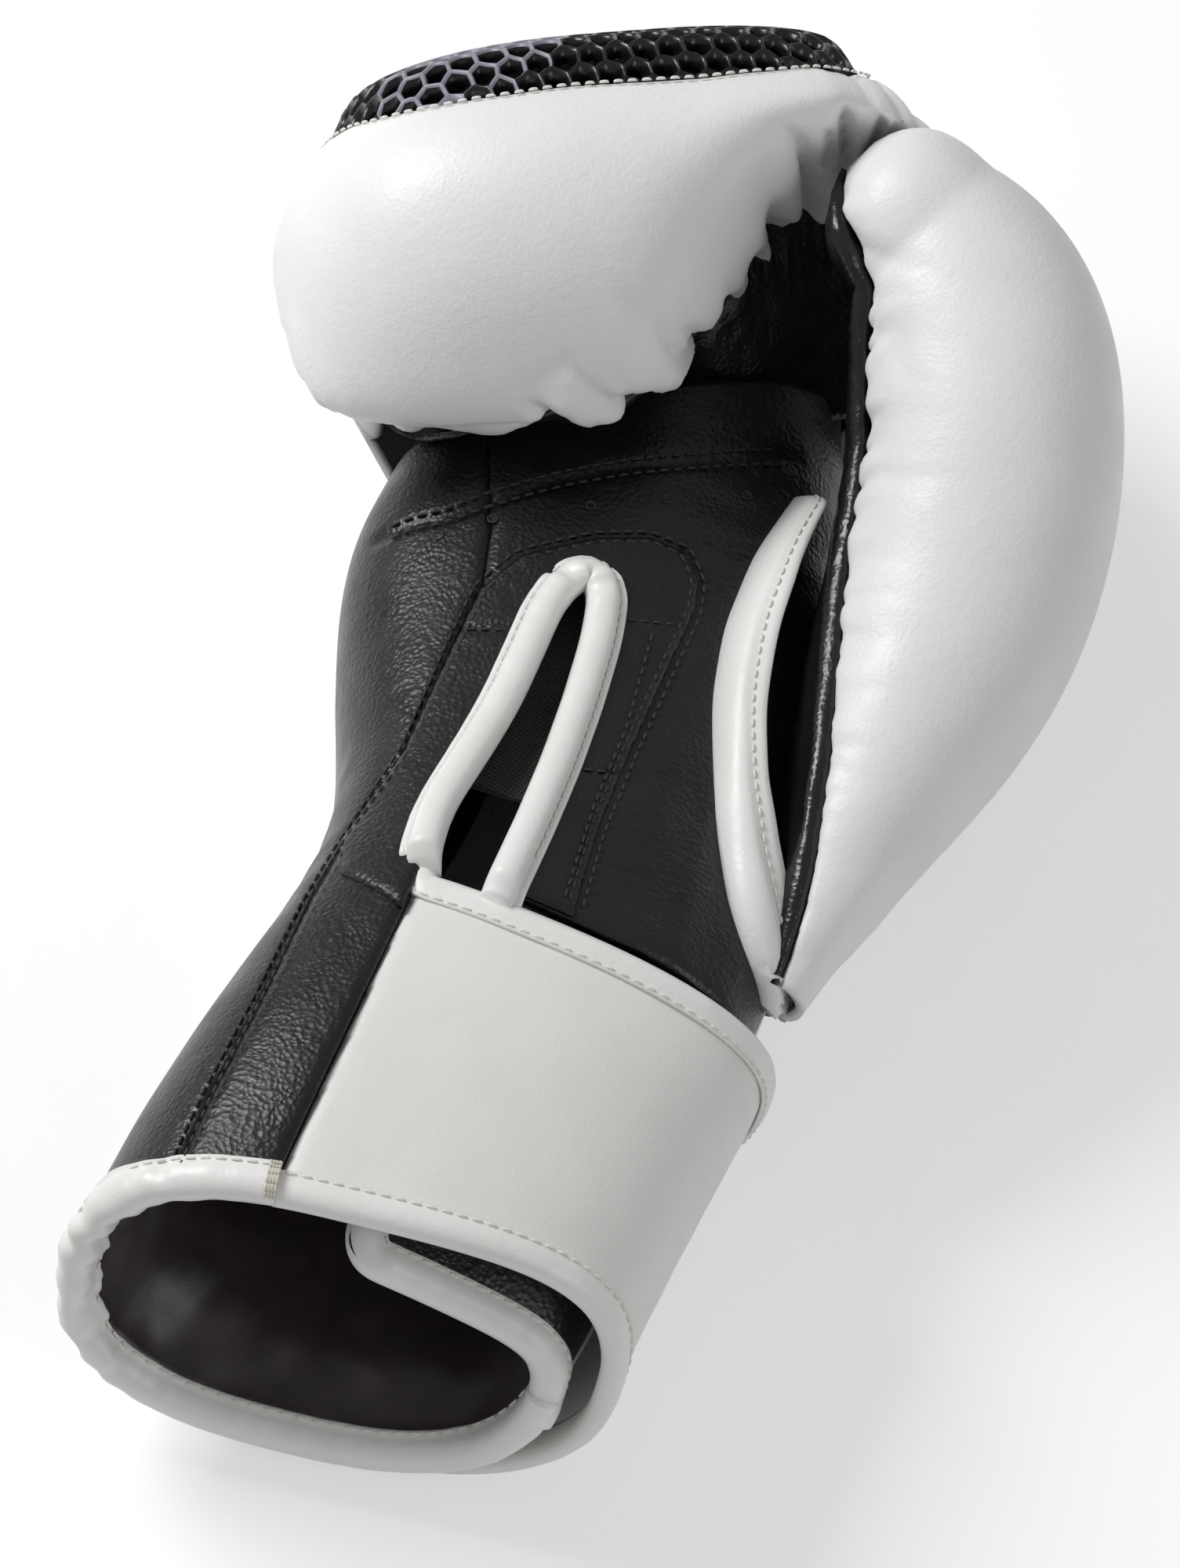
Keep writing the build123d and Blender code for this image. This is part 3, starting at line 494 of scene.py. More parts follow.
class Patch:
    """Part of a surface, cut by fields that are positive where it stays."""

    def __init__(self, surface, low_a, high_a, low_b, high_b, step, flip=1):
        self.surface, self.flip, self.fields = surface, flip, []
        self.dom, self.tris = grid(low_a, high_a, low_b, high_b, step)

    def cut(self, field, seam=True):
        """field(points, dom) gives a distance in mm; a seam's edge is pulled in, another's isn't."""
        self.dom, self.tris = clip(self.dom, self.tris, field(self.surface(self.dom), self.dom))
        if seam:
            self.fields.append(field)
        return self

    def weld(self):
        """Joins the points that lie on each other."""
        key = np.round(self.surface(self.dom) / 0.02).astype(int)
        _, first, back = np.unique(key, axis=0, return_index=True, return_inverse=True)
        tris = back.ravel()[self.tris]
        whole = (tris[:, 0] != tris[:, 1]) & (tris[:, 1] != tris[:, 2]) & (tris[:, 0] != tris[:, 2])
        self.dom, self.tris = self.dom[first], tris[whole]

    def solve(self):
        """Works out the points, their normals and how far each is from a seam's edge."""
        self.weld()
        self.points = self.surface(self.dom)
        self.normals = normals(self.surface, self.dom, self.flip)
        self.edge = np.full(len(self.dom), 99.0)
        for field in self.fields:
            self.edge = np.minimum(self.edge, field(self.points, self.dom))
        return self


def rims(tris):
    """The directed edges that only one triangle has."""
    edges = np.concatenate([tris[:, [0, 1]], tris[:, [1, 2]], tris[:, [2, 0]]])
    key = np.sort(edges, axis=1)
    _, first, count = np.unique(key, axis=0, return_index=True, return_counts=True)
    return edges[first[count == 1]]


def add_mesh(name, verts, faces, material, smooth=True):
    """A mesh object from points in mm."""
    mesh = bpy.data.meshes.new(name)
    mesh.from_pydata((np.asarray(verts) * MM).tolist(), [], [list(map(int, f)) for f in faces])
    mesh.materials.append(material)
    mesh.polygons.foreach_set("use_smooth", [smooth] * len(mesh.polygons))
    mesh.update()
    obj = bpy.data.objects.new(name, mesh)
    bpy.context.scene.collection.objects.link(obj)
    return obj


def skin(name, patch, material, lift=0.0, thick=1.6, roll=(2.6, 0.9), relief=None):
    """A sheet of leather or cloth over a patch: thick mm thick, its seam edges rolled down."""
    patch.solve()
    up = np.full(len(patch.dom), float(lift))
    width, drop = roll
    inwards = np.clip(patch.edge / width, 0, 1)
    up -= drop * (1 - np.sqrt(np.clip(1 - (1 - inwards) ** 2, 0, 1)))
    if relief is not None:
        up += relief(patch)
    top = patch.points + patch.normals * up[:, None]
    low = patch.points + patch.normals * (np.minimum(up, lift) - thick)[:, None]
    n = len(top)
    tris = patch.tris
    a, b, c = patch.points[tris[:, 0]], patch.points[tris[:, 1]], patch.points[tris[:, 2]]
    facing = (np.cross(b - a, c - a) * patch.normals[tris[:, 0]]).sum(1)
    tris = np.where((facing < 0)[:, None], tris[:, ::-1], tris)
    faces = [tuple(t) for t in tris] + [tuple(t[::-1] + n) for t in tris]
    faces += [(j, i, i + n, j + n) for i, j in rims(tris)]
    return add_mesh(name, np.concatenate([top, low]), faces, material)


# ---------- lines, bands and stitches
class Line:
    """A line on a surface, with the surface's normal and the direction to its right."""

    def __init__(self, points, surface_normals):
        self.p, self.n = points, surface_normals
        self.t = unit_rows(np.gradient(self.p, axis=0))
        self.side = unit_rows(np.cross(self.t, self.n))
        self.s = lengths(self.p)

    def at(self, right, up):
        return self.p + self.side * np.asarray(right)[..., None] + self.n * np.asarray(up)[..., None]


def surface_line(surface, dom, flip=1):
    """A Line through a surface's (a, b) points."""
    return Line(surface(dom), normals(surface, dom, flip))


def band(name, line, profile, material, relief=None, closed=False):
    """A strip along a line. profile is (right, up) points of its closed section, in order."""
    count, k = len(line.p), len(profile)
    verts = []
    for right, up in profile:
        rise = np.full(count, float(up))
        if relief is not None:
            rise = rise + relief(line, right, up)
        verts.append(line.at(np.full(count, float(right)), rise))
    verts = np.stack(verts, axis=1).reshape(-1, 3)
    faces = []
    for i in range(count if closed else count - 1):
        j = (i + 1) % count
        for m in range(k):
            after = (m + 1) % k
            faces.append((i * k + m, i * k + after, j * k + after, j * k + m))
    if not closed:
        faces.append(tuple(range(k))[::-1])
        faces.append(tuple((count - 1) * k + m for m in range(k)))
    return add_mesh(name, verts, faces, material)


# a stitch's rings: place along it, as a share of its length, and share of its full radius
STITCH_RINGS = ((-0.5, 0.0), (-0.42, 0.75), (-0.2, 1.0), (0.2, 1.0), (0.42, 0.75), (0.5, 0.0))


class Thread:
    """Gathers stitches for one body and thread, and makes one mesh of them."""

    def __init__(self):
        self.verts, self.faces = [], []

    def add(self, start, end, normal, radius):
        """One stitch, its ends drawn down into the leather."""
        start, end, normal = np.array(start), np.array(end), np.array(normal)
        along = end - start
        size = np.linalg.norm(along)
        if size < 1e-6:
            return
        along /= size
        side = np.cross(along, normal)
        middle = (start + end) / 2
        first = len(self.verts)
        for place_at, share in STITCH_RINGS:
            lift = normal * (radius * 0.9 * (share - 0.6))
            for k in range(6):
                a = k * math.pi / 3
                self.verts.append(middle + along * (place_at * size) + lift
                                  + (side * math.cos(a) + normal * math.sin(a)) * radius * max(share, 0.12))
        for r in range(len(STITCH_RINGS) - 1):
            for k in range(6):
                a, b = first + r * 6 + k, first + r * 6 + (k + 1) % 6
                self.faces.append((a, b, b + 6, a + 6))
        self.faces.append(tuple(first + k for k in range(6))[::-1])
        last = first + (len(STITCH_RINGS) - 1) * 6
        self.faces.append(tuple(last + k for k in range(6)))

    def run(self, line, right=0.0, up=0.2, pitch=3.1, length=2.2, radius=0.34, skip=0.0):
        """Stitches along a line, right of it and up from its surface."""
        path = line.at(np.full(len(line.p), float(right)), np.full(len(line.p), float(up)))
        s = lengths(path)
        count = int((s[-1] - 2 * skip) / pitch)
        for i in range(count):
            mid = skip + (i + 0.5) * pitch
            ends = [np.array([np.interp(x, s, path[:, k]) for k in range(3)])
                    for x in (mid - length / 2, mid + length / 2)]
            n = np.array([np.interp(mid, s, line.n[:, k]) for k in range(3)])
            self.add(ends[0], ends[1], n / np.linalg.norm(n), radius)

    def make(self, name, material):
        return add_mesh(name, np.array(self.verts), self.faces, material)


# ---------- materials
class Nodes:
    """A material's node tree, with short calls for what is used here."""

    def __init__(self, name, color, rough):
        self.mat = bpy.data.materials.new(name)
        self.mat.use_nodes = True
        self.tree = self.mat.node_tree
        self.shader = self.tree.nodes["Principled BSDF"]
        self.shader.inputs["Base Color"].default_value = (*color, 1)
        self.shader.inputs["Roughness"].default_value = rough
        self.coord = self.tree.nodes.new("ShaderNodeTexCoord").outputs["Object"]
        self.height = None

    def node(self, kind, inputs=(), **settings):
        n = self.tree.nodes.new(kind)
        for key, value in settings.items():
            setattr(n, key, value)
        for key, value in dict(inputs).items():
            if isinstance(value, bpy.types.NodeSocket):
                self.tree.links.new(value, n.inputs[key])
            else:
                n.inputs[key].default_value = value
        return n

    def stretched(self, scale, turn=(0, 0, 0)):
        inputs = {"Vector": self.coord, "Scale": scale, "Rotation": turn}
        return self.node("ShaderNodeMapping", inputs).outputs[0]

    def noise(self, size, detail=2.0, vector=None, rough=0.5):
        n = self.node("ShaderNodeTexNoise", {
            "Vector": vector or self.coord, "Scale": 1 / (size * MM), "Detail": detail, "Roughness": rough})
        return n.outputs["Fac"]

    def cells(self, size, vector=None, feature="F1"):
        n = self.node("ShaderNodeTexVoronoi", {
            "Vector": vector or self.coord, "Scale": 1 / (size * MM)}, feature=feature)
        return n.outputs["Distance"]

    def mapped(self, value, low, high, to_low, to_high):
        inputs = {"Value": value, "From Min": low, "From Max": high, "To Min": to_low, "To Max": to_high}
        return self.node("ShaderNodeMapRange", inputs).outputs[0]

    def bump(self, height, distance, strength=1.0):
        inputs = {"Height": height, "Distance": distance * MM, "Strength": strength}
        if self.height is not None:
            inputs["Normal"] = self.height
        self.height = self.node("ShaderNodeBump", inputs).outputs[0]
        self.tree.links.new(self.height, self.shader.inputs["Normal"])

    def blend_color(self, factor, first, second):
        mix = self.node("ShaderNodeMix", {0: factor, 6: (*first, 1), 7: (*second, 1)}, data_type="RGBA")
        self.tree.links.new(mix.outputs[2], self.shader.inputs["Base Color"])

    def rough(self, value):
        self.tree.links.new(value, self.shader.inputs["Roughness"])

    def set(self, **values):
        for key, value in values.items():
            self.shader.inputs[key.replace("_", " ")].default_value = value
        return self.mat


def leather(name, light, dark, rough, grain, depth, crease):
    """Leather with a pebbled grain of the given size and depth over finer creases."""
    m = Nodes(name, light, rough)
    warp = m.node("ShaderNodeVectorMath", {0: m.coord}, operation="ADD")
    wander = m.node("ShaderNodeTexNoise", {"Vector": m.coord, "Scale": 90.0, "Detail": 2.0})
    scaled = m.node("ShaderNodeVectorMath", {0: wander.outputs["Color"], 3: 0.004}, operation="SCALE")
    m.tree.links.new(scaled.outputs[0], warp.inputs[1])
    m.blend_color(m.mapped(m.noise(24, 3.0), 0.3, 0.7, 0, 1), light, dark)
    m.rough(m.mapped(m.noise(9, 3.0), 0.3, 0.7, rough - 0.05, rough + 0.07))
    m.bump(m.noise(2.6, 4.0, warp.outputs[0]), crease)
    m.bump(m.cells(grain, warp.outputs[0]), depth)
    return m


WHITE = leather("white_leather_grain", (0.84, 0.84, 0.83), (0.80, 0.80, 0.79), 0.42, 0.9, 0.05, 0.12)
WHITE.set(Specular_IOR_Level=0.45)
STRAP_WHITE = leather("strap_leather_grain", (0.80, 0.79, 0.77), (0.76, 0.755, 0.735),
                      0.46, 0.55, 0.035, 0.05)
BINDING = leather("binding_skin", (0.84, 0.835, 0.82), (0.80, 0.79, 0.77), 0.38, 1.2, 0.03, 0.12)
BLACK = leather("black_pebbled_leather", (0.012, 0.012, 0.014), (0.007, 0.007, 0.008), 0.33, 1.1, 0.14, 0.13)
BLACK.set(Specular_IOR_Level=0.42)
GLOSSY_BLACK = leather("black_creased_leather", (0.011, 0.011, 0.013), (0.006, 0.006, 0.007),
                       0.25, 1.0, 0.08, 0.14)


WAVES_PER_SCALE = 0.314  # a wave texture's scale for one wave in each unit of length


def cloth(name, color, dark, rough, pitch, depth, sheen, turn=(0, 0, 0)):
    """Woven cloth: threads pitch mm apart in two directions, and a soft sheen."""
    m = Nodes(name, color, rough)
    scale = WAVES_PER_SCALE / (pitch * MM)
    across = m.node("ShaderNodeTexWave", {"Vector": m.stretched((1, 1, 1), turn), "Scale": scale})
    along = m.node("ShaderNodeTexWave", {"Vector": m.stretched((1, 1, 1), turn), "Scale": scale},
                   bands_direction="Y")
    threads = {0: across.outputs["Fac"], 1: along.outputs["Fac"]}
    weave = m.node("ShaderNodeMath", threads, operation="MULTIPLY")
    m.blend_color(m.mapped(m.noise(7, 3.0), 0.3, 0.7, 0, 1), color, dark)
    m.bump(weave.outputs[0], depth)
    m.set(Sheen_Weight=sheen)
    return m


SATIN = cloth("satin_lining", (0.030, 0.018, 0.026), (0.014, 0.008, 0.013), 0.34, 0.45, 0.03, 0.25)
ELASTIC = cloth("woven_elastic", (0.030, 0.024, 0.018), (0.014, 0.011, 0.009), 0.75, 0.9, 0.35, 0.3,
                (0, 0, math.radians(20)))
TAPE = cloth("hook_tape", (0.035, 0.035, 0.037), (0.02, 0.02, 0.022), 0.85, 0.8, 0.4, 0.5)


def plain(name, color, dark, rough, size, depth):
    """A surface that is mottled and a little uneven at one size."""
    m = Nodes(name, color, rough)
    m.blend_color(m.mapped(m.noise(size, 3.0), 0.3, 0.7, 0, 1), color, dark)
    m.bump(m.noise(size, 3.0), depth)
    return m


PADDING = plain("grey_foam", (0.16, 0.16, 0.165), (0.11, 0.11, 0.115), 0.9, 0.8, 0.12)
SHEET = plain("backing_sheet", (0.020, 0.020, 0.022), (0.012, 0.012, 0.013), 0.6, 1.2, 0.08)
PRINTED = plain("printed_elastomer", (0.010, 0.010, 0.011), (0.006, 0.006, 0.007), 0.26, 0.35, 0.03)
PRINTED_GREY = plain("printed_elastomer_grey", (0.27, 0.26, 0.31), (0.20, 0.19, 0.24), 0.38, 0.35, 0.03)
WHITE_THREAD = plain("white_thread", (0.80, 0.79, 0.75), (0.72, 0.71, 0.67), 0.75, 0.25, 0.08)
BLACK_THREAD = plain("black_thread", (0.022, 0.022, 0.024), (0.012, 0.012, 0.014), 0.6, 0.25, 0.08)
RAW_EDGE = plain("raw_edge", (0.55, 0.62, 0.55), (0.40, 0.47, 0.41), 0.7, 0.6, 0.1)
TACK = plain("tack_thread", (0.72, 0.69, 0.61), (0.62, 0.59, 0.51), 0.7, 0.3, 0.1)


# ---------- where panels meet
# Each of these says how far points are inside an edge, in about mm, and is negative outside it.
# They take the points p and their places d on the surface.
COVER_SEAM_X, COVER_SEAM_Z, COVER_SEAM_SLOPE = -10, 34, 0.2
COVER_SEAM_DIP = 12
STRAP_TOP_X, STRAP_TOP_Y, STRAP_TOP_SLOPE = 3, -50, 0.12


def above_cover_seam(p, d=None):
    """Above the seam round the hand's sides, which dips beside the thumb."""
    dip = COVER_SEAM_DIP * ramp(p[:, 1], 55, 90) * ramp(p[:, 0], 4, 22)
    return (p[:, 2] - COVER_SEAM_Z - COVER_SEAM_SLOPE * (p[:, 0] - COVER_SEAM_X) + dip) / 1.05


def behind_joint(p, d=None):
    """Behind the joint plane, or a little past it at the outer edge of the hand."""
    u, v, _ = fist_frame(p)
    return np.maximum(FIST_JOINT_V - v, np.minimum(-33 - u, 3 - v))


def inside_hem(p, d):
    """Past the cuff's rim, which the rim's binding covers."""
    return d[:, 1] - 8.0


def below_strap_top(p, d=None):
    """On the mouth's side of the strap's sloping top edge."""
    return -((p[:, 0] - STRAP_TOP_X) * STRAP_TOP_SLOPE + p[:, 1] - STRAP_TOP_Y) / 1.0072


def off_strap(p, d=None):
    """Outside the strap's sewn edge or its top edge."""
    return np.maximum(-line_side(p[:, :2], *STRAP_SEAM), -below_strap_top(p) - 0.8)


# the palm's main seam: up its left side from the cuff, over the slot and down its right
SEAM = np.array([
    (-63, -139), (-60, -109), (-56, -83), (-53, -56), (-50, -40), (-43, -15), (-40, 14), (-38, 29),
    (-32, 39), (-18, 48), (-7, 52), (1, 51), (5, 45), (6, 37), (4, 22), (1, -3), (-1, -26), (-1, -50),
], float)
SEAM_LEFT, SEAM_RIGHT = SEAM[:9], SEAM[4:]
SIDE_EDGE = np.concatenate([SEAM_LEFT[:8], [(-40, 45), (-47, 70), (-52, 120)]])
SIDE_REGION = np.concatenate([[(-160, -200), (-66, -200)], SIDE_EDGE, [(-160, 120)]])
OVERLAY_REGION = np.concatenate([SEAM_RIGHT, [(-30, -60), (-48, -50)]])
SLOT_EDGE = smoothed(resample(SLOT_PATH, 1.5), 8)
# the seam under the fingers
FINGER_SEAM = [(-62, 41), (-57, 43.5), (-50, 46), (-40, 53), (-28, 61), (-16, 68), (0, 76), (18, 86)]


def in_side(p, d=None):
    return inside(SIDE_REGION, p[:, :2])


def out_of_side(p, d=None):
    return -in_side(p)


def out_of_slot(grow):
    """Outside the slot and grow mm round it."""
    return lambda p, d: -inside(SLOT_EDGE, p[:, :2]) - grow


def path_distance(xy, path):
    """Distance of plan points from an open path."""
    path = np.asarray(path, float)
    best = np.full(len(xy), 1e9)
    for a, b in zip(path[:-1], path[1:]):
        e = b - a
        t = np.clip((xy - a) @ e / (e @ e), 0, 1)
        best = np.minimum(best, np.linalg.norm(xy - a - t[:, None] * e, axis=1))
    return best


def valley(points, path, depth=0.8, width=1.6):
    """The dip in leather along a seam."""
    return -depth * bell(path_distance(points[:, :2], path), width)


PALM_GUESS = (RING / 4, HAND_LENGTH / 2)


def hand_line(points, step=1.2):
    """A Line on the hand's palm side under plan points."""
    return surface_line(hand, find(hand, resample(points, step), PALM_GUESS))


# ---------- hand
def back_relief(patch):
    """Soft unevenness, and long folds at the wrist."""
    p = patch.points
    at_wrist = bell(p[:, 1] + 45, 26)
    return 0.5 * fuzz(p, 38, 3) + 0.16 * fuzz(p, 11, 4) - 0.35 * folds(p, 16, 5, (1, 0.25, 1)) * at_wrist


def hand_end(p, d=None):
    """The hand's panels run on past the joint plane, under the finger roll."""
    return 3.0 - fist_frame(p)[1]


back = Patch(hand, RING / 2 - 22, RING + 22, 6, HAND_LENGTH + 3.5, 2.2)
back.cut(lambda p, d: -above_cover_seam(p)).cut(inside_hem, False).cut(behind_joint)
back_skin = skin("back_cover_leather", back, WHITE.mat, relief=back_relief)


def side_relief(patch):
    """Creases at the wrist and the seam's valley."""
    p = patch.points
    crease = -0.9 * folds(p, 13, 8, (0.5, 1.1, 1)) * bell(p[:, 1] + 28, 24)
    return 0.35 * fuzz(p, 22, 7) + crease + valley(p, FINGER_SEAM, 0.9)


side = Patch(hand, RING / 4 - 5, RING / 2 + 20, 6, HAND_LENGTH + 3.5, 1.5)
side.cut(above_cover_seam).cut(in_side).cut(inside_hem, False).cut(off_strap).cut(hand_end, False)
side_skin = skin("side_panel_leather", side, BLACK.mat, relief=side_relief)


def palm_relief(patch):
    """Long folds at the thumb's root, creases under the fingers and the seam's valley."""
    p = patch.points
    root = bell(p[:, 0] - 22, 20) * ramp(-p[:, 1], -35, 20)
    long_folds = -1.6 * folds(p, 15, 12, (1.0, 0.22, 0.6)) * root
    creases = -0.5 * folds(p, 10, 14, (0.5, 1.3, 1)) * ramp(p[:, 1], 30, 70)
    return 0.35 * fuzz(p, 20, 11) + long_folds + creases + valley(p, FINGER_SEAM, 0.9)


palm = Patch(hand, -14, RING / 2 - 8, 6, HAND_LENGTH + 3.5, 1.4)
palm.cut(above_cover_seam).cut(out_of_side).cut(inside_hem, False)
palm.cut(out_of_slot(0.5), False).cut(off_strap).cut(hand_end, False)
palm_skin = skin("palm_panel_leather", palm, BLACK.mat, relief=palm_relief)

# short seams across the overlay's strip, and the stitches down its right leg
CROSS_SEAMS = [[(-39, 17), (-29, 19)], [(-8, 29), (4, 32)], [(-8, -12), (1, -10)]]
INNER_ROW = [(-3.6, -46), (-3.0, -20), (-1.0, 2), (-1.2, 28)]


def overlay_relief(patch):
    """Valleys at the cross seams and along the edge, and fine unevenness."""
    p = patch.points
    lines = sum(valley(p, seam, 0.5, 1.0) for seam in CROSS_SEAMS)
    strip = valley(p, SEAM_RIGHT - np.array([1.4, 0]), 0.25, 0.8)
    return 0.25 * fuzz(p, 14, 15) + lines + strip - 0.25 * folds(p, 7, 16)


overlay = Patch(hand, RING / 8, RING / 2 - 8, 60, HAND_LENGTH, 1.2)
overlay.cut(lambda p, d: inside(OVERLAY_REGION, p[:, :2])).cut(out_of_slot(0.5), False).cut(off_strap)
overlay_skin = skin("palm_overlay_leather", overlay, BLACK.mat, lift=1.2, thick=1.0, roll=(1.4, 0.8),
                    relief=overlay_relief)

black_rows = Thread()
seam_line = hand_line(np.concatenate([[(-62.2, -129)], SEAM[1:]]))
for shift, rise in ((-1.5, 0.1), (1.5, 0.9)):
    black_rows.run(seam_line, right=shift, up=rise, pitch=3.0, radius=0.36, skip=2)
for shift in (-1.8, 1.8):
    black_rows.run(hand_line(FINGER_SEAM), right=shift, up=0.15, pitch=3.0, radius=0.36, skip=3)
for seam in CROSS_SEAMS:
    black_rows.run(hand_line(seam, 0.8), up=0.9, pitch=2.8, length=2.0, skip=0.5)
black_rows.run(hand_line(INNER_ROW), up=1.3, pitch=3.0, length=2.1, radius=0.33)
palm_stitches = black_rows.make("palm_stitching", BLACK_THREAD.mat)

HOLES = [(-50, 41), (-40, 47), (-21, 56), (-6, 63), (10, 71)]
HOLE_RINGS = ((1.25, -0.02), (1.05, 0.22), (0.8, -0.05), (0.6, -0.5), (0.0, -0.6))  # radius, up
HOLE_SIDES = 14


def vent_holes():
    """Punched holes under the fingers: a dished disc with a rim, one each."""
    verts, faces = [], []
    for hole in HOLES:
        line = hand_line([hole, (hole[0] + 0.5, hole[1])], 0.5)
        p, n = line.p[0], line.n[0]
        x = line.t[0]
        y = np.cross(n, x)
        first = len(verts)
        for radius, up in HOLE_RINGS:
            for k in range(HOLE_SIDES):
                a = k / (HOLE_SIDES / 2) * math.pi
                verts.append(p + (x * math.cos(a) + y * math.sin(a)) * radius + n * (up + 0.1))
        for r in range(len(HOLE_RINGS) - 1):
            start = first + r * HOLE_SIDES
            for k in range(HOLE_SIDES):
                a, b = start + k, start + (k + 1) % HOLE_SIDES
                faces.append((a, b, b + HOLE_SIDES, a + HOLE_SIDES))
    return add_mesh("palm_vent_holes", verts, faces, SHEET.mat)


vents = vent_holes()


# ---------- slot, leaf, hem and lining
def rolled(width, height, flange=1.6, sink=1.0, count=10):
    """A binding's section: a fat roll on the left, a thin stitched flange on the right."""
    roll = width - flange
    points = []
    for k in range(count + 1):
        a = math.pi * k / count
        points.append((-width / 2 + roll / 2 * (1 - math.cos(a)), height * math.sin(a) ** 0.7 + 0.3))
    points += [(width / 2 - flange + 0.4, 0.55), (width / 2 - 0.3, 0.6), (width / 2, 0.2)]
    points += [(width / 2 - 0.3, -sink), (-width / 2 + 0.8, -sink), (-width / 2 - 0.1, -0.4)]
    return points


def gathers(depth, pitch, seed):
    """Small puckers across a binding, deeper where it turns."""
    def relief(line, right, up):
        if up <= 0.7:
            return np.zeros(len(line.s))
        turn = unit_rows(line.t)
        bend = np.linalg.norm(np.gradient(turn, line.s, axis=0), axis=1)
        bend = np.convolve(np.pad(bend, 4, mode="edge"), np.ones(9) / 9, mode="valid")
        wave = fuzz(np.stack([line.s, line.s * 0 + right * 0.35, line.s * 0], axis=1), pitch, seed)
        share = 0.12 + np.clip(bend * 14, 0, 1) * 0.9
        return depth * wave * share * min(1.0, up / 2)
    return relief


slot_line = hand_line(SLOT_EDGE, 1.0)


def slot_relief(line, right, up):
    """Gathers, and the roll sinking at its ends to go in under the strap's binding."""
    sink = ramp(line.s, 0, 5) * ramp(line.s[-1] - line.s, 0, 3)
    return gathers(1.5, 3.2, 21)(line, right, up) * sink - 3.2 * (1 - sink)


slot_roll = band("slot_binding_roll", slot_line, [(r, u + 1.1) for r, u in rolled(8.6, 4.0)], BINDING.mat,
                 slot_relief)
hand_rows = Thread()
hand_rows.run(slot_line, right=3.1, up=1.85, pitch=2.9, length=2.1, radius=0.33, skip=13)


def slot_bed(dom):
    """The elastic web lies in the palm's padding, at the bottom of the slot."""
    return hand(dom, -5.4)


elastic = Patch(slot_bed, RING / 8, RING / 2, 90, HAND_LENGTH - 10, 1.6)
elastic.cut(lambda p, d: inside(SLOT_EDGE, p[:, :2]) + 2.5, False).cut(lambda p, d: p[:, 1] + 19, False)
elastic_web = skin("slot_elastic_web", elastic, ELASTIC.mat, thick=0.8,
                   relief=lambda q: -1.2 * bell(q.points[:, 0] + 18, 7) + 0.2 * fuzz(q.points, 9, 31))

LEAF_LEFT = [(20, 76), (15, 57), (13, 36), (14.5, 18), (18, 3), (22, -12), (29, -29), (35.5, -39),
             (41, -43.5)]
LEAF_RIGHT = [(22, 75), (20, 53), (20, 33), (22, 14), (26, -1), (32, -15), (38.5, -27), (43, -35),
              (44, -42)]
# how high the leaf stands off the palm, by share of its length
LEAF_RISE = [(0, 12), (0.25, 12), (0.5, 8.5), (0.75, 5), (1, 2.5)]
# its section: share of the way across, up, and share of the rise
LEAF_SECTION = [(0.0, -1.2, 0), (-0.04, 0.6, 0.05), (0.02, 2.2, 0.22), (0.15, 3.4, 0.42), (0.32, 3.6, 0.60),
                (0.47, 3.0, 0.75), (0.58, 1.9, 0.86), (0.66, 1.7, 0.92), (0.8, 1.9, 0.97), (0.97, 1.9, 1.0),
                (1.0, 1.6, 1.0), (1.0, 0.7, 1.0), (0.96, 0.2, 1.0), (0.7, -1.5, 0.4), (0.4, -2.0, 0)]
LEAF_SEAM = (6, 7)  # the section's points on each side of the stitched valley
LEAF_RAW = slice(9, 12)  # the section's stretches on the raw edge


def leaf_frame(count=150):
    """The leaf's two edges on the palm, and how high it stands, evenly along it."""
    share = np.linspace(0, 1, count)
    rows = []
    for path in (LEAF_LEFT, LEAF_RIGHT):
        even = resample(smoothed(resample(path, 2), 8), 1.0)
        at = np.linspace(0, 1, len(even))
        even = np.stack([np.interp(share, at, even[:, k]) for k in range(2)], axis=1)
        rows.append(surface_line(hand, find(hand, even, (RING / 8, HAND_LENGTH / 2))))
    rise = lookup(share, LEAF_RISE) * np.sqrt(ramp(share, -0.02, 0.08))
    return rows[0], rows[1], share, rise


def leaf(thread):
    """The stiff white leaf between palm and thumb: a padded roll, a stitched valley, a raw edge."""
    left, right, share, rise = leaf_frame()
    ends = np.sqrt(ramp(share, 0, 0.06)) * np.sqrt(ramp(-share, -1, -0.97))
    rows, count = [], len(share)
    for t, up, lifted in LEAF_SECTION:
        p = left.p * (1 - t) + right.p * t
        n = unit_rows(left.n * (1 - t) + right.n * t)
        wobble = 0.25 * fuzz(p, 9, 33) if up > 1 else 0
        rows.append(p + n * ((up * ends + wobble) + rise * lifted)[:, None])
    k = len(LEAF_SECTION)
    verts = np.stack(rows, axis=1).reshape(-1, 3)
    faces = [(i * k + m, (i + 1) * k + m, (i + 1) * k + (m + 1) % k, i * k + (m + 1) % k)
             for i in range(count - 1) for m in range(k)]
    faces += [tuple(range(k)), tuple((count - 1) * k + m for m in range(k))[::-1]]
    piece = add_mesh("thumb_leaf_binding", verts, faces, BINDING.mat)
    piece.data.materials.append(RAW_EDGE.mat)
    index = np.zeros(len(piece.data.polygons), int)
    index[:(count - 1) * k].reshape(count - 1, k)[:, LEAF_RAW] = 1
    piece.data.polygons.foreach_set("material_index", index)
    seam = sum(rows[i] for i in LEAF_SEAM) / 2
    thread.run(Line(seam, unit_rows(left.n + right.n)), up=0.15, pitch=2.9, length=2.1, skip=4)
    return piece


leaf_piece = leaf(hand_rows)

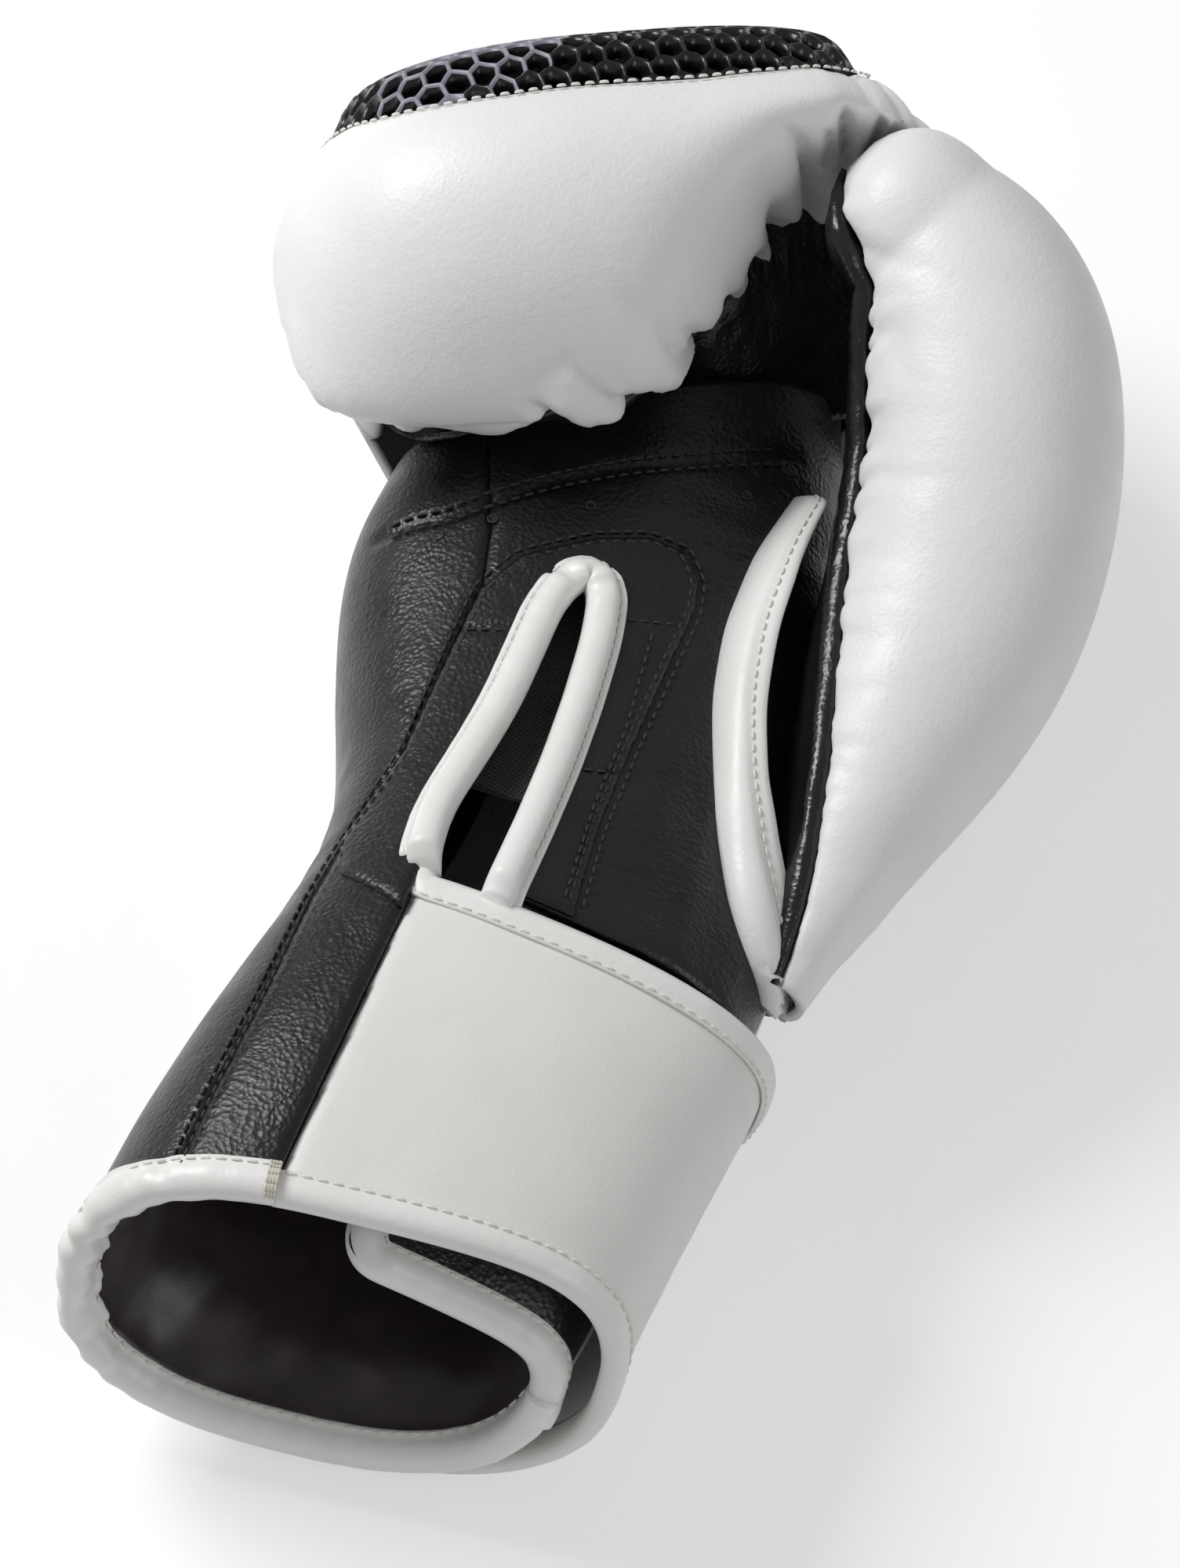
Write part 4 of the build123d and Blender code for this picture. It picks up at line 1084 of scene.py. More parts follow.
HEM_SECTION = [(4.6, 0.1), (4.1, 1.1), (3.3, 0.8), (2.5, 1.2), (0.8, 1.7), (-1.2, 1.5), (-2.7, 0.7),
               (-3.5, -0.6), (-3.7, -2.0), (-3.4, -3.6), (-2.6, -4.8), (-1.2, -5.5), (0.6, -5.7),
               (2.4, -5.5), (3.0, -5.8), (3.6, -5.5), (3.4, -4.2), (3.0, -1.5)]


def hem_dom(a, b=4.0):
    """The line along the cuff's rim, b mm in from the mouth."""
    return np.stack([a, np.full(len(a), b)], axis=1)


def hem_start():
    """Where the strap's sewn edge meets the cuff's rim, in mm round the hand."""
    a = np.linspace(RING / 8, RING / 2, 400)
    p = hand(hem_dom(a))
    return a[np.argmax(line_side(p[:, :2], *STRAP_SEAM) < 0)]


def hem_end():
    """Where the cuff's rim comes back up to the seam on the thumb side."""
    a = np.linspace(RING / 2 + 20, RING + 40, 600)
    p = hand(hem_dom(a))
    return a[np.argmax((above_cover_seam(p) > 0) & (p[:, 0] > 0))]


def hem_gathers(line, right, up):
    """Puckers across the rim's binding, deepest where it turns round the cuff's left."""
    p = np.stack([line.s, line.s * 0 + right * 0.5, line.s * 0 + up * 0.5], axis=1)
    left_turn = 0.35 + 3.2 * bell(line.p[:, 0] + 76, 14)
    return 0.55 * fuzz(p, 4.4, 41) * left_turn


hem_line = surface_line(hand, hem_dom(np.linspace(hem_start() - 1, hem_end(), 330)))
hem_piece = band("cuff_rim_binding", hem_line, HEM_SECTION, BINDING.mat, hem_gathers)
hand_rows.run(hem_line, right=3.3, up=1.0, skip=1)
hand_rows.run(hem_line, right=2.6, up=-5.9, pitch=3.3, length=2.3, skip=4)
white_stitches = hand_rows.make("hand_binding_stitching", WHITE_THREAD.mat)


def tack():
    """The bar tack where the rim's binding meets the strap's."""
    thread = Thread()
    line = surface_line(hand, hem_dom(np.linspace(hem_start() - 3, hem_start() + 3, 13)))
    point, along, side, normal = line.p[6], line.t[6], line.side[6], line.n[6]
    for shift in (-0.9, -0.3, 0.3, 0.9):
        middle = point + along * shift
        run = [middle + side * right + normal * (up + 0.15) for right, up in HEM_SECTION[1:8]]
        for start, end in zip(run[:-1], run[1:]):
            thread.add(start, end, normal, 0.42)
    return thread.make("rim_bar_tack", TACK.mat)


tack_piece = tack()


def lining_relief(patch):
    """Loose satin: long folds, and folds across them near the mouth."""
    p = patch.points
    long_folds = 1.5 * folds(p, 16, 44, (1, 0.25, 1)) + 0.8 * fuzz(p, 9, 45)
    cross_folds = 1.2 * folds(p, 12, 46, (0.6, 1.0, 0.6)) * bell(p[:, 1] + 128, 26)
    return (long_folds + cross_folds) * ramp(patch.edge, 0, 4)


def lining_surface(dom):
    """The cavity's wall, flared a little to meet the rim's binding at the mouth."""
    return cavity(dom, 3.9 * ramp(-dom[:, 1], -20, -7))


lining = Patch(lining_surface, 0, RING, 5, HAND_LENGTH - 12, 2.2, flip=-1)
lining.cut(lambda p, d: np.maximum(off_strap(p), -above_cover_seam(p)) - 0.5).cut(out_of_slot(-1), False)
lining_skin = skin("hand_satin_lining", lining, SATIN.mat, thick=1.0, roll=(1, 0.1), relief=lining_relief)


# ---------- underlap
def underlap_field(band_width):
    """Inside the underlap's free edges and its rounded corner, by the width that its binding covers."""
    round_by = 9.0

    def field(p, d):
        left = line_side(p[:, :2], *UNDERLAP_EDGE) - band_width
        low = d[:, 1] - band_width
        corner = round_by - np.hypot(np.maximum(round_by - left, 0), np.maximum(round_by - low, 0))
        return np.minimum(np.minimum(left, low), corner)
    return field


def under_strap(p, d):
    """Below the strap's top edge, which covers the underlap's own."""
    return below_strap_top(p) - 2.4


def flap_surface(dom, out=0.0):
    """The underlap, lifted off the hand a little where its free corner curls."""
    p = underlap(dom, out)
    near = bell(p[:, 0] + 30, 26) * bell(dom[:, 1], 30)
    p[:, 2] += 1.2 * near - 9.0 * bell(p[:, 0] - 4, 30) * ramp(-dom[:, 1], -70, 6)
    return p


flap = Patch(flap_surface, -10, RING / 2, 0, 95, 1.6)
flap.cut(above_cover_seam).cut(underlap_field(0.6), False).cut(under_strap, False)
flap_skin = skin("underlap_leather", flap, BLACK.mat, thick=2.0,
                 relief=lambda q: 0.5 * fuzz(q.points, 18, 51) - 0.7 * folds(q.points, 12, 52, (1, 0.5, 1)))


def flap_under(dom):
    """The underlap's inner face."""
    return flap_surface(dom, -3.6)


flap_inner = Patch(flap_under, -6, RING / 2, 0, 95, 2.4, flip=-1)
flap_inner.cut(above_cover_seam).cut(underlap_field(1.5), False).cut(under_strap, False)
flap_satin = skin("underlap_satin_lining", flap_inner, SATIN.mat, thick=0.8, roll=(1, 0.1),
                  relief=lambda q: 0.8 * folds(q.points, 10, 53))

FOLDED = [(-3.4, 0.1), (-3.2, 1.0), (-2.6, 0.8), (-1.9, 1.2), (0.0, 2.0), (2.2, 1.8), (3.6, 0.6), (4.3, -1.0),
          (4.5, -2.6), (4.0, -4.2), (2.4, -5.2), (0.0, -5.3), (-2.6, -4.9), (-3.2, -4.2), (-2.8, -3.8),
          (0, -3.6), (0, -0.6)]


def flap_edge():
    """A line 4 mm in from the underlap's free edge, from the strap's top round to the thumb side."""
    start, end = np.array(UNDERLAP_EDGE)
    y = np.linspace(-53, -121, 46)
    x = start[0] + (end[0] - start[0]) * ((y - start[1]) / (end[1] - start[1])) + 4.1
    upper = find(flap_surface, np.stack([x, y], axis=1), (RING / 4, 60))
    turn = np.linspace(0, math.pi / 2, 14)
    low_b = 4.2
    corner_a, corner_b = upper[-1]
    radius = corner_b - low_b
    arc_a = corner_a - radius * 0.75 * (1 - np.cos(turn))
    arc = np.stack([arc_a, low_b + radius * (1 - np.sin(turn))], axis=1)
    rest = np.stack([np.linspace(arc[-1, 0] - 1.5, -8, 70), np.full(70, low_b)], axis=1)
    dom = np.concatenate([upper, arc[1:], rest])
    return surface_line(flap_surface, smoothed(dom, 4))


flap_line = flap_edge()
flap_binding = band("underlap_binding_roll", flap_line, FOLDED, BINDING.mat, gathers(0.9, 4, 55))
flap_rows = Thread()
flap_rows.run(flap_line, right=-2.5, up=0.95, skip=1)
flap_stitches = flap_rows.make("underlap_stitching", WHITE_THREAD.mat)


# ---------- strap
def strap_ends(p, d=None):
    """Inside the strap's sewn edge on the palm, and inside its free end on the back."""
    sewn = line_side(p[:, :2], *STRAP_SEAM) - 0.3
    free = line_side(p[:, :2], *STRAP_END)
    return np.where(p[:, 2] > FOLD_Z, sewn, free)


def strap_relief(patch):
    """A soft sag along the strap's middle, ripples, and folds where it bends round the hand."""
    p = patch.points
    sag = -0.7 * bell(below_strap_top(p) - 42, 20) * ramp(p[:, 2], 30, 75)
    ripple = 0.35 * fuzz(p * np.array([1, 0.4, 1]), 24, 61) - 0.25 * folds(p, 13, 62)
    fold = -0.6 * folds(p, 11, 63, (1, 0.25, 0.6)) * bell(p[:, 2] - 52, 14)
    return sag + ripple + fold


def strap_low(a):
    """Where the strap's low edge runs: at the rim on the palm, further in on the back."""
    return 4.0 + 5.5 * ramp(-a, -12, 30) + 4.0 * bell(a - 22, 24)


strap_leather = Patch(strap, -RING / 2 + 20, RING / 2, 3, 110, 2.0)
strap_leather.cut(lambda p, d: d[:, 1] - strap_low(d[:, 0]) + 1, False).cut(strap_ends)
strap_leather.cut(lambda p, d: below_strap_top(p) - 3.5, False)
strap_skin = skin("wrist_strap_leather", strap_leather, STRAP_WHITE.mat, thick=3.0, roll=(2.5, 1.0),
                  relief=strap_relief)

STRAP_FOLDED = [(-4.0, 0.1), (-3.7, 0.9), (-3.1, 0.7), (-2.4, 1.0), (-0.8, 1.6), (1.0, 1.5), (2.4, 0.7),
                (3.1, -0.6), (3.2, -1.8), (2.6, -2.9), (1.2, -3.5), (-2.0, -3.6), (-3.5, -3.3), (-3.2, -2.9),
                (0, -2.7), (0, -0.6)]
# both of the strap's long edges run from its sewn end over the thumb side to its free end
STRAP_ROUND = np.linspace(RING / 2, -RING / 2 + 20, 700)


def strap_edge(b):
    """The strap's edge line, b mm in from the mouth."""
    dom = np.stack([STRAP_ROUND, b], axis=1)
    return dom[strap_ends(strap(dom)) > 0]


def strap_top_edge():
    """4 mm in from the strap's top, with its corner at the sewn end."""
    b = np.full(len(STRAP_ROUND), 80.0)
    for _ in range(30):
        miss = below_strap_top(strap(np.stack([STRAP_ROUND, b], axis=1))) - 4.0
        b = np.clip(b + 0.8 * miss, 2, 160)
    dom = strap_edge(b)
    corner = find(strap, resample([(-34.6, -35), (-34.4, -40), (-32.5, -44.5)], 1.0), dom[0])
    return np.concatenate([corner, dom])


def strap_line(dom):
    """A Line along the strap, smooth and evenly spaced."""
    return surface_line(strap, resample(smoothed(dom, 12), 1.4))


top_line = strap_line(strap_top_edge())
top_band = band("strap_top_roll", top_line, [(-r, u) for r, u in STRAP_FOLDED][::-1], BINDING.mat,
                gathers(0.7, 5, 65))
low_line = strap_line(strap_edge(strap_low(STRAP_ROUND)))
low_band = band("strap_low_roll", low_line, STRAP_FOLDED, BINDING.mat, gathers(0.7, 5, 66))
END_IN = 4.3  # mm from the strap's free end to its binding's middle
end_dom = find(strap, resample([(-27.6 + END_IN, -140), (-14.5 + END_IN, -54)], 1.5), (-RING / 4, 60))
end_line = surface_line(strap, end_dom)
end_band = band("strap_end_roll", end_line, STRAP_FOLDED, BINDING.mat, gathers(0.5, 5, 67))
strap_rows = Thread()
strap_rows.run(top_line, right=3.2, up=0.8, skip=1)
strap_rows.run(low_line, right=-3.2, up=0.8, skip=1)
strap_stitches = strap_rows.make("strap_stitching", WHITE_THREAD.mat)
end_rows = Thread()
end_rows.run(end_line, right=-3.2, up=0.8, skip=1)
end_stitches = end_rows.make("strap_end_stitching", WHITE_THREAD.mat)


# ---------- fist
WINDOW_EDGE = smoothed(resample(WINDOW + WINDOW[:1], 2.0)[:-1], 6, closed=True)
# the roll's gathers: where along the knuckles, how far up they reach, how they lean, how deep
GATHERS = [(-62, 6, 0.0, 0.6), (-33, 8, -0.9, 1.5), (-13, 12, -1.0, 2.4), (6, 10, -1.1, 2.6),
           (27, 14, -1.0, 2.6), (32, 7, -0.5, 1.5), (41, 10, -0.4, 2.0), (48, 20, -0.35, 2.4),
           (53, 19, -0.1, 2.2), (61, 20, 0.0, 1.8), (74, 8, 0.0, 0.6)]
# the middle height of the roll's gathered edge: u, z
ROLL_EDGE = [(-60, 60), (-45, 47), (-38, 47), (-33, 52), (-24, 65), (-13, 77), (0, 79), (7, 78), (17, 71),
             (27, 65), (40, 63), (53, 66), (62, 68), (75, 70)]


def in_window(p, d=None):
    """Distance inside the lattice's window, negative outside it."""
    u, v, z = fist_frame(p)
    return np.minimum(inside(WINDOW_EDGE, np.stack([u, z], axis=1)), v - 25)


def out_of_window(p, d):
    """Outside the window, which is only on the fist's front and top."""
    return -np.minimum(in_window(p), 0.57 * FIST_ROUND - d[:, 0])


def between_gathers(u):
    """0 at each gather and 1 halfway to the next, less where they are close together."""
    at = np.array([g[0] for g in GATHERS], float)
    i = np.clip(np.searchsorted(at, u) - 1, 0, len(at) - 2)
    gap = at[i + 1] - at[i]
    t = np.clip((u - at[i]) / gap, 0, 1)
    return np.sin(math.pi * t) ** 0.7 * np.clip(gap / 18, 0.3, 1.0)


def roll_edge_middle(u):
    """The middle height of the gathered edge at u."""
    return lookup(u, ROLL_EDGE)


def roll_edge_height(u):
    """How high the gathered edge under the finger roll lies at u."""
    return roll_edge_middle(u) + 1.4 - 3.6 * between_gathers(u)


GRIP_LEFT, GRIP_RIGHT = -43, 69  # where the dark underside ends along the knuckles


def off_grip(p, d):
    """Outside the roll's dark underside, and in front of the joint or above the roll's underside."""
    u, v, z = fist_frame(p)
    under = np.minimum(d[:, 0] - 0.72 * FIST_ROUND, roll_edge_height(u) - z)
    under = np.minimum(under, np.minimum(GRIP_RIGHT - u, u - GRIP_LEFT))
    return np.minimum(-under, np.maximum(v - FIST_JOINT_V, z - ROLL_UNDERSIDE))


def gather_depth(u, up):
    """The gathers' creases and the bulges between them, up from the roll's edge."""
    depth = 2.2 * between_gathers(u + 0.6 * up) * np.exp(-((up - 5) / 10.0) ** 2)
    for at, reach, lean, deep in GATHERS:
        across = (u - at - lean * up) / math.hypot(1, lean)
        fade = np.exp(-(up / (1.3 * reach)) ** 2.0)
        depth -= deep * fade * (1.45 * bell(across, 1.2 + 0.05 * reach) + 0.5 * bell(across, 5.5))
    return depth


# creases that run up from the gathers: how deep, and the way they take (u, mm round the fist)
CREASES = [
    (3.8, [(52, 277), (50, 260), (48, 249), (45, 235), (40, 220), (35, 208)]),
    (3.0, [(47, 278), (43, 261), (39, 246), (37, 239)]),
    (2.4, [(41, 280), (39, 269), (35, 257)]),
    (2.2, [(32, 280), (27, 261), (25, 253)]),
    (2.7, [(27, 281), (17, 256), (13, 249), (9, 244)]),
    (3.2, [(58, 252), (56, 238), (53, 222), (51, 199)]),
    (1.9, [(52, 242), (50, 230), (47, 218)]),
    (2.1, [(62, 238), (62, 223), (60, 202)]),
    (3.0, [(-13, 265), (-17, 259), (-22, 255)]),
    (2.4, [(-33, 293), (-36, 300), (-39, 309)]),
    (1.9, [(6, 265), (2, 260), (-3, 257)]),
]


def crease_depth(patch):
    """Each crease is a narrow valley between two soft bulges, and fades at its far end."""
    at = np.stack([fist_frame(patch.points)[0], patch.dom[:, 0]], axis=1)
    depth = np.zeros(len(at))
    for deep, path in CREASES:
        path = smoothed(resample(path, 2), 4)
        away = np.linalg.norm(at - path[0], axis=1) / lengths(path)[-1]
        d = path_distance(at, path)
        depth += deep * (1 - ramp(away, 0.45, 1.05)) * (0.3 * bell(d - 4.5, 3.2) - bell(d, 1.5))
    return depth


def fist_relief(patch):
    """Gathers and creases on the roll's rear, pleats at its right end, and soft unevenness."""
    p = patch.points
    u, v, z = fist_frame(p)
    up = np.maximum(z - roll_edge_height(u), 0)
    rear = ramp(patch.dom[:, 0], 0.60 * FIST_ROUND, 0.68 * FIST_ROUND)
    rear = rear * (1 - ramp(roll_edge_middle(u) - z, 2, 12))
    fine_line = np.stack([u + 0.5 * up, up * 0.3, up * 0], axis=1)
    fine = -0.55 * pleats(fine_line, 4.2, 74) * np.exp(-up / 11) * rear
    soft_line = np.stack([u + 0.7 * up, up * 0.4, up * 0], axis=1)
    soft = 0.8 * fuzz(soft_line, 14, 73) * np.exp(-up / 22) * rear
    end = bell(u - 67, 13) * ramp(z, 72, 90)
    lines = pleats(np.stack([u, v * 0.10, z * 0.08], axis=1), 7, 75, 3.4)
    rear = rear * (0.35 + 0.65 * ramp(u, -66, -48))
    over_backing = 1.4 * bell(u - 47, 9) * bell(z - 114, 6) * bell(v - 23, 7)  # the lattice's
    gathered = gather_depth(u, up) * rear + crease_depth(patch) + over_backing
    return 0.6 * fuzz(p, 46, 76) + gathered + fine + soft - 1.9 * lines * end


cover = Patch(fist, 0, FIST_ROUND, -FIST_REACH, FIST_REACH, 1.3, flip=-1)
cover.cut(off_grip).cut(out_of_window)
fist_skin = skin("fist_cover_leather", cover, WHITE.mat, thick=2.0, roll=(5.0, 2.4), relief=fist_relief)


def rear_of_roll(u):
    """v of the roll's rear face at the height of its gathered edge."""
    a = np.linspace(0.70 * FIST_ROUND, 0.92 * FIST_ROUND, 110)
    table_u = np.linspace(-62, 84, 60)
    table_v = []
    for at, m in zip(table_u, along_fist(table_u)):
        _, v, z = fist_frame(fist(np.stack([a, np.full(len(a), m)], axis=1)))
        table_v.append(v[np.argmin(np.abs(z - roll_edge_middle(at)))])
    return np.interp(u, table_u, table_v)


def grip(dom):
    """The dark underside of the roll: (u, 0 to 40 from its gathered edge to under the palm).

    Below 0 it turns in behind the cover, as a lip that closes the gathers.
    """
    u, t = dom[:, 0], np.maximum(dom[:, 1], 0) / 40
    lip = np.maximum(-dom[:, 1], 0)
    far = ramp(u, -5, 40)
    start_v, start_z = rear_of_roll(u) + 1.6, roll_edge_height(u) + 1.0
    end_v, end_z = 12 - 22 * far, np.minimum(52 - 7 * far, start_z - 6)
    bend_v = (start_v + 3) * (1 - far) + (0.6 * start_v + 0.4 * end_v) * far
    bend_z = np.minimum(60, start_z - 3)
    v = start_v * (1 - t) ** 2 + 2 * bend_v * t * (1 - t) + end_v * t**2 + 0.9 * lip
    z = start_z * (1 - t) ** 2 + 2 * bend_z * t * (1 - t) + end_z * t**2 + 0.4 * lip
    return from_fist_frame(u, v, z)


grip_patch = Patch(grip, GRIP_LEFT - 1, GRIP_RIGHT + 5, -9, 40, 1.6)
grip_skin = skin("grip_leather", grip_patch, BLACK.mat, thick=1.6, roll=(1, 0.1),
                 relief=lambda q: -0.8 * folds(q.points, 9, 78))


def clear_of_hand(p, d=None):
    """Outside the hand, or up to 1.2 mm into its leather."""
    return hand_outside(p) + 1.2


def pocket_wall(dom):
    """The satin-lined wall of the finger pocket, inside the roll's padding."""
    u, v, z = fist_frame(fist(dom))
    middle = 18 + 22 * ramp(u, -5, 58)
    return from_fist_frame(12 + 0.86 * (u - 12), middle + 0.78 * (v - middle), 58 + 0.8 * (z - 58))


def pocket_left(p, d):
    """Where the pocket's wall is needed: not in the roll's upper right, where the padding is thin."""
    u, _, z = fist_frame(p)
    return np.maximum(25 - u, 68 - z)


pocket = Patch(pocket_wall, 0, FIST_ROUND, -FIST_REACH, FIST_REACH, 3.0, flip=-1)
pocket.cut(off_grip, False).cut(clear_of_hand, False).cut(pocket_left, False)
pocket_skin = skin("finger_pocket_satin", pocket, SATIN.mat, thick=1.0, roll=(1, 0.1))


def window_rim():
    """A line round the window's edge on the fist's surface."""
    loop = resample(np.concatenate([WINDOW_EDGE, WINDOW_EDGE[:1]]), 1.3)
    a = np.interp(loop[:, 1], *front_heights())
    dom = np.stack([a, along_fist(loop[:, 0])], axis=1)
    step = 0.5
    for _ in range(12):
        z = fist(dom)[:, 2]
        ahead = fist(dom + np.array([step, 0]))[:, 2]
        slope = (ahead - z) / step
        slope = np.where(np.abs(slope) < 0.15, 0.15, slope)
        dom[:, 0] += np.clip((loop[:, 1] - z) / slope, -3, 3)
    return surface_line(fist, dom, -1)


def front_heights():
    """Height against mm round the fist, over its front, from low to high."""
    a = np.linspace(0.1 * FIST_ROUND, 0.52 * FIST_ROUND, 200)
    z = fist(np.stack([a, a * 0], axis=1))[:, 2]
    top = np.argmax(z)
    return z[:top], a[:top]


rim_line = window_rim()
rim_rows = Thread()
rim_rows.run(rim_line, right=-3.0, up=0.1, pitch=3.0, length=2.1, radius=0.33)
rim_stitches = rim_rows.make("lattice_rim_stitching", WHITE_THREAD.mat)


# ---------- lattice
# a cell's rings: share of its size, and height
CELL_RINGS = ((1.0, 0.0), (0.90, -0.12), (0.80, -0.75), (0.74, -1.9), (0.78, -3.0), (0.92, -3.9), (1.0, -4.1))


CELL_CORNERS = 12  # a cell's six corners and the middles of its sides


def cell_centres(pitch, radius, shift):
    """The middles of the cells over the window, in mm round and along the fist."""
    a_low, a_high = front_heights()[1][0] - 4, 0.56 * FIST_ROUND
    centres = []
    for i in range(int((a_high - a_low) / (radius * 1.5)) + 2):
        for j in range(-14, 14):
            centres.append((a_low + i * radius * 1.5, (j + 0.5 * (i % 2)) * pitch + shift - 7))
    centres = np.array(centres)
    return centres[in_window(fist(centres)) > -0.5]


def cell_outlines(centres, radius, seed):
    """Hexagons round the middles, each corner moved a little, the same for the cells that share it."""
    angles = np.arange(CELL_CORNERS) * 2 * math.pi / CELL_CORNERS
    reach = np.where(np.arange(CELL_CORNERS) % 2 == 0, 1.0, math.cos(math.pi / 6))
    shape = np.stack([np.cos(angles), np.sin(angles)], axis=1) * (reach * radius)[:, None]
    outer = centres[:, None, :] + shape[None]
    flat = np.concatenate([outer.reshape(-1, 2), np.zeros((len(centres) * CELL_CORNERS, 1))], axis=1)
    move = np.stack([fuzz(flat, 5.0, seed), fuzz(flat, 5.0, seed + 1)], axis=1).reshape(outer.shape)
    return outer + move * 0.9


def honeycomb(name, pitch, lift, shrink, shift, seed, materials, greys=False):
    """One layer of open cells over the window, its walls rounded, as a closed mesh."""
    radius = pitch / math.sqrt(3)
    centres = cell_centres(pitch, radius, shift)
    outer = cell_outlines(centres, radius, seed)
    middle = outer.mean(axis=1, keepdims=True)
    points = fist(outer.reshape(-1, 2))
    out = normals(fist, outer.reshape(-1, 2), -1)
    swell = ramp(in_window(points), -3, 7)
    top = lift + (LATTICE_PROUD + 1.5) * swell - 1.5
    middle_p = np.repeat(fist(middle.reshape(-1, 2)), CELL_CORNERS, axis=0)
    verts = []
    for share, down in CELL_RINGS:
        grow = share if share > 0.95 else 1 - (1 - share) * shrink
        verts.append(middle_p + (points - middle_p) * grow + out * (top + down)[:, None])
    n = len(points)
    verts = np.concatenate(verts)
    faces, kinds = [], []
    grey = grey_cells(middle_p[::CELL_CORNERS]) if greys else np.zeros(len(centres), bool)
    for c in range(len(centres)):
        for r in range(len(CELL_RINGS) - 1):
            start = r * n + c * CELL_CORNERS
            for k in range(CELL_CORNERS):
                a, b = start + k, start + (k + 1) % CELL_CORNERS
                faces.append((a, b, b + n, a + n))
                kinds.append(int(grey[c] and r < 2))
    key = np.round(verts / 0.03).astype(int)
    _, first, back_to = np.unique(key, axis=0, return_index=True, return_inverse=True)
    back_to = back_to.ravel()
    faces = [tuple(back_to[list(f)]) for f in faces]
    piece = add_mesh(name, verts[first], faces, materials[0])
    for extra in materials[1:]:
        piece.data.materials.append(extra)
    if len(piece.data.polygons) == len(kinds):
        piece.data.polygons.foreach_set("material_index", kinds)
    close_rim(piece)
    return piece


def grey_cells(p):
    """A plain, soft-edged patch of paler cells near the lattice's upper edge."""
    u, _, z = fist_frame(p)
    spread = bell(u + 21, 24) * bell(z - 107, 8)
    return spread + 0.35 * fuzz(p, 6, 83) > 0.42


def close_rim(piece):
    """Joins the open top and bottom edges round a honeycomb."""
    mesh = bmesh.new()
    mesh.from_mesh(piece.data)
    open_edges = [e for e in mesh.edges if e.is_boundary]
    if open_edges:
        bmesh.ops.bridge_loops(mesh, edges=open_edges)
    bmesh.ops.recalc_face_normals(mesh, faces=mesh.faces)
    mesh.to_mesh(piece.data)
    mesh.free()


upper_net = honeycomb("knuckle_lattice_outer", 5.7, 0.0, 1.0, 0.0, 81, [PRINTED.mat, PRINTED_GREY.mat], True)
lower_net = honeycomb("knuckle_lattice_inner", 5.7, -4.3, 1.25, 2.85, 85, [PRINTED.mat])


# ---------- thumb
def fist_outside(p):
    """About how far points stand out of the fist, in mm, negative inside it."""
    u, v, z = fist_frame(p)
    outline_v, outline_z, _ = fist_sections(along_fist(u, 0.999))
    dv = outline_v @ FIST_MATRIX.T - v[:, None]
    dz = outline_z @ FIST_MATRIX.T - z[:, None]
    nearest = np.sqrt((dv**2 + dz**2).min(axis=1))
    cross = (dz[:, :-1] > 0) != (dz[:, 1:] > 0)
    drop = dz[:, :-1] - dz[:, 1:]
    fraction = dz[:, :-1] / np.where(np.abs(drop) < 1e-9, 1e-9, drop)
    at = dv[:, :-1] + (dv[:, 1:] - dv[:, :-1]) * fraction
    within = ((cross & (at > 0)).sum(axis=1) % 2) == 1
    beyond = FIST_HALF - np.abs(u - FIST_SHIFT)
    return np.where(within & (beyond > 0), -nearest, nearest)


THUMB_LOW_SEAM = ((46.0, -45.0), (38.0, 130.0))
# the thumb's upper seam: mm along it, mm round it
THUMB_SEAM = [(0, 38), (11, 42), (33, 52), (58, 60), (86, 67), (121, 75), (145, 79), (167, 81), (184, 78),
              (199, 70), (215, 64)]


def in_thumb_palm(p, d):
    """Inside the thumb's dark inner panel."""
    upper = d[:, 0] - lookup(d[:, 1], THUMB_SEAM)
    return np.minimum(upper, -line_side(p[:, :2], *THUMB_LOW_SEAM))


def clear_of_fist(p, d=None):
    """Outside the fist, or up to 0.8 mm into its leather."""
    return fist_outside(p) + 0.8


def thumb_relief(patch):
    """Pleats that run from the seam, folds at the root and soft unevenness."""
    p = patch.points
    seam = np.maximum(patch.edge, 0)
    along = p * np.array([0.25, 1.0, 0.4])
    tip = 0.4 + 0.9 * bell(p[:, 1] - 88, 34)
    near = -1.9 * pleats(along, 7.0, 91) * np.exp(-(seam / 9) ** 1.3) * tip
    wide = -1.0 * pleats(along, 15.0, 92) * np.exp(-seam / 22) * tip
    root = -0.7 * folds(p, 14, 93, (1, 0.5, 1)) * ramp(-p[:, 1], -20, 25)
    return 0.7 * fuzz(p, 44, 94) + near + wide + root


thumb_patch = Patch(thumb, 0, THUMB_ROUND, 0, THUMB_LENGTH, 1.5)
thumb_patch.cut(lambda p, d: -in_thumb_palm(p, d)).cut(clear_of_hand, False).cut(clear_of_fist, False)
thumb_skin = skin("thumb_cover_leather", thumb_patch, WHITE.mat, thick=2.0, roll=(4.0, 2.0),
                  relief=thumb_relief)


def inner_relief(patch):
    """Folds along the thumb, small ones across it, and a soft ridge beside the seam."""
    p = patch.points
    long_folds = -1.5 * folds(p, 12, 96, (1.0, 0.35, 0.8)) * (0.4 + 0.9 * ramp(-p[:, 1], -40, 10))
    small = -0.5 * folds(p, 6, 97, (0.6, 1.2, 1.0))
    return long_folds + small + 1.2 * bell(patch.edge - 3.5, 2.5)


inner_patch = Patch(thumb, 0, THUMB_ROUND, 0, THUMB_LENGTH, 1.5)
inner_patch.cut(in_thumb_palm).cut(clear_of_hand, False).cut(clear_of_fist, False)
inner_skin = skin("thumb_palm_leather", inner_patch, GLOSSY_BLACK.mat, thick=1.8, roll=(2.2, 1.2),
                  relief=inner_relief)


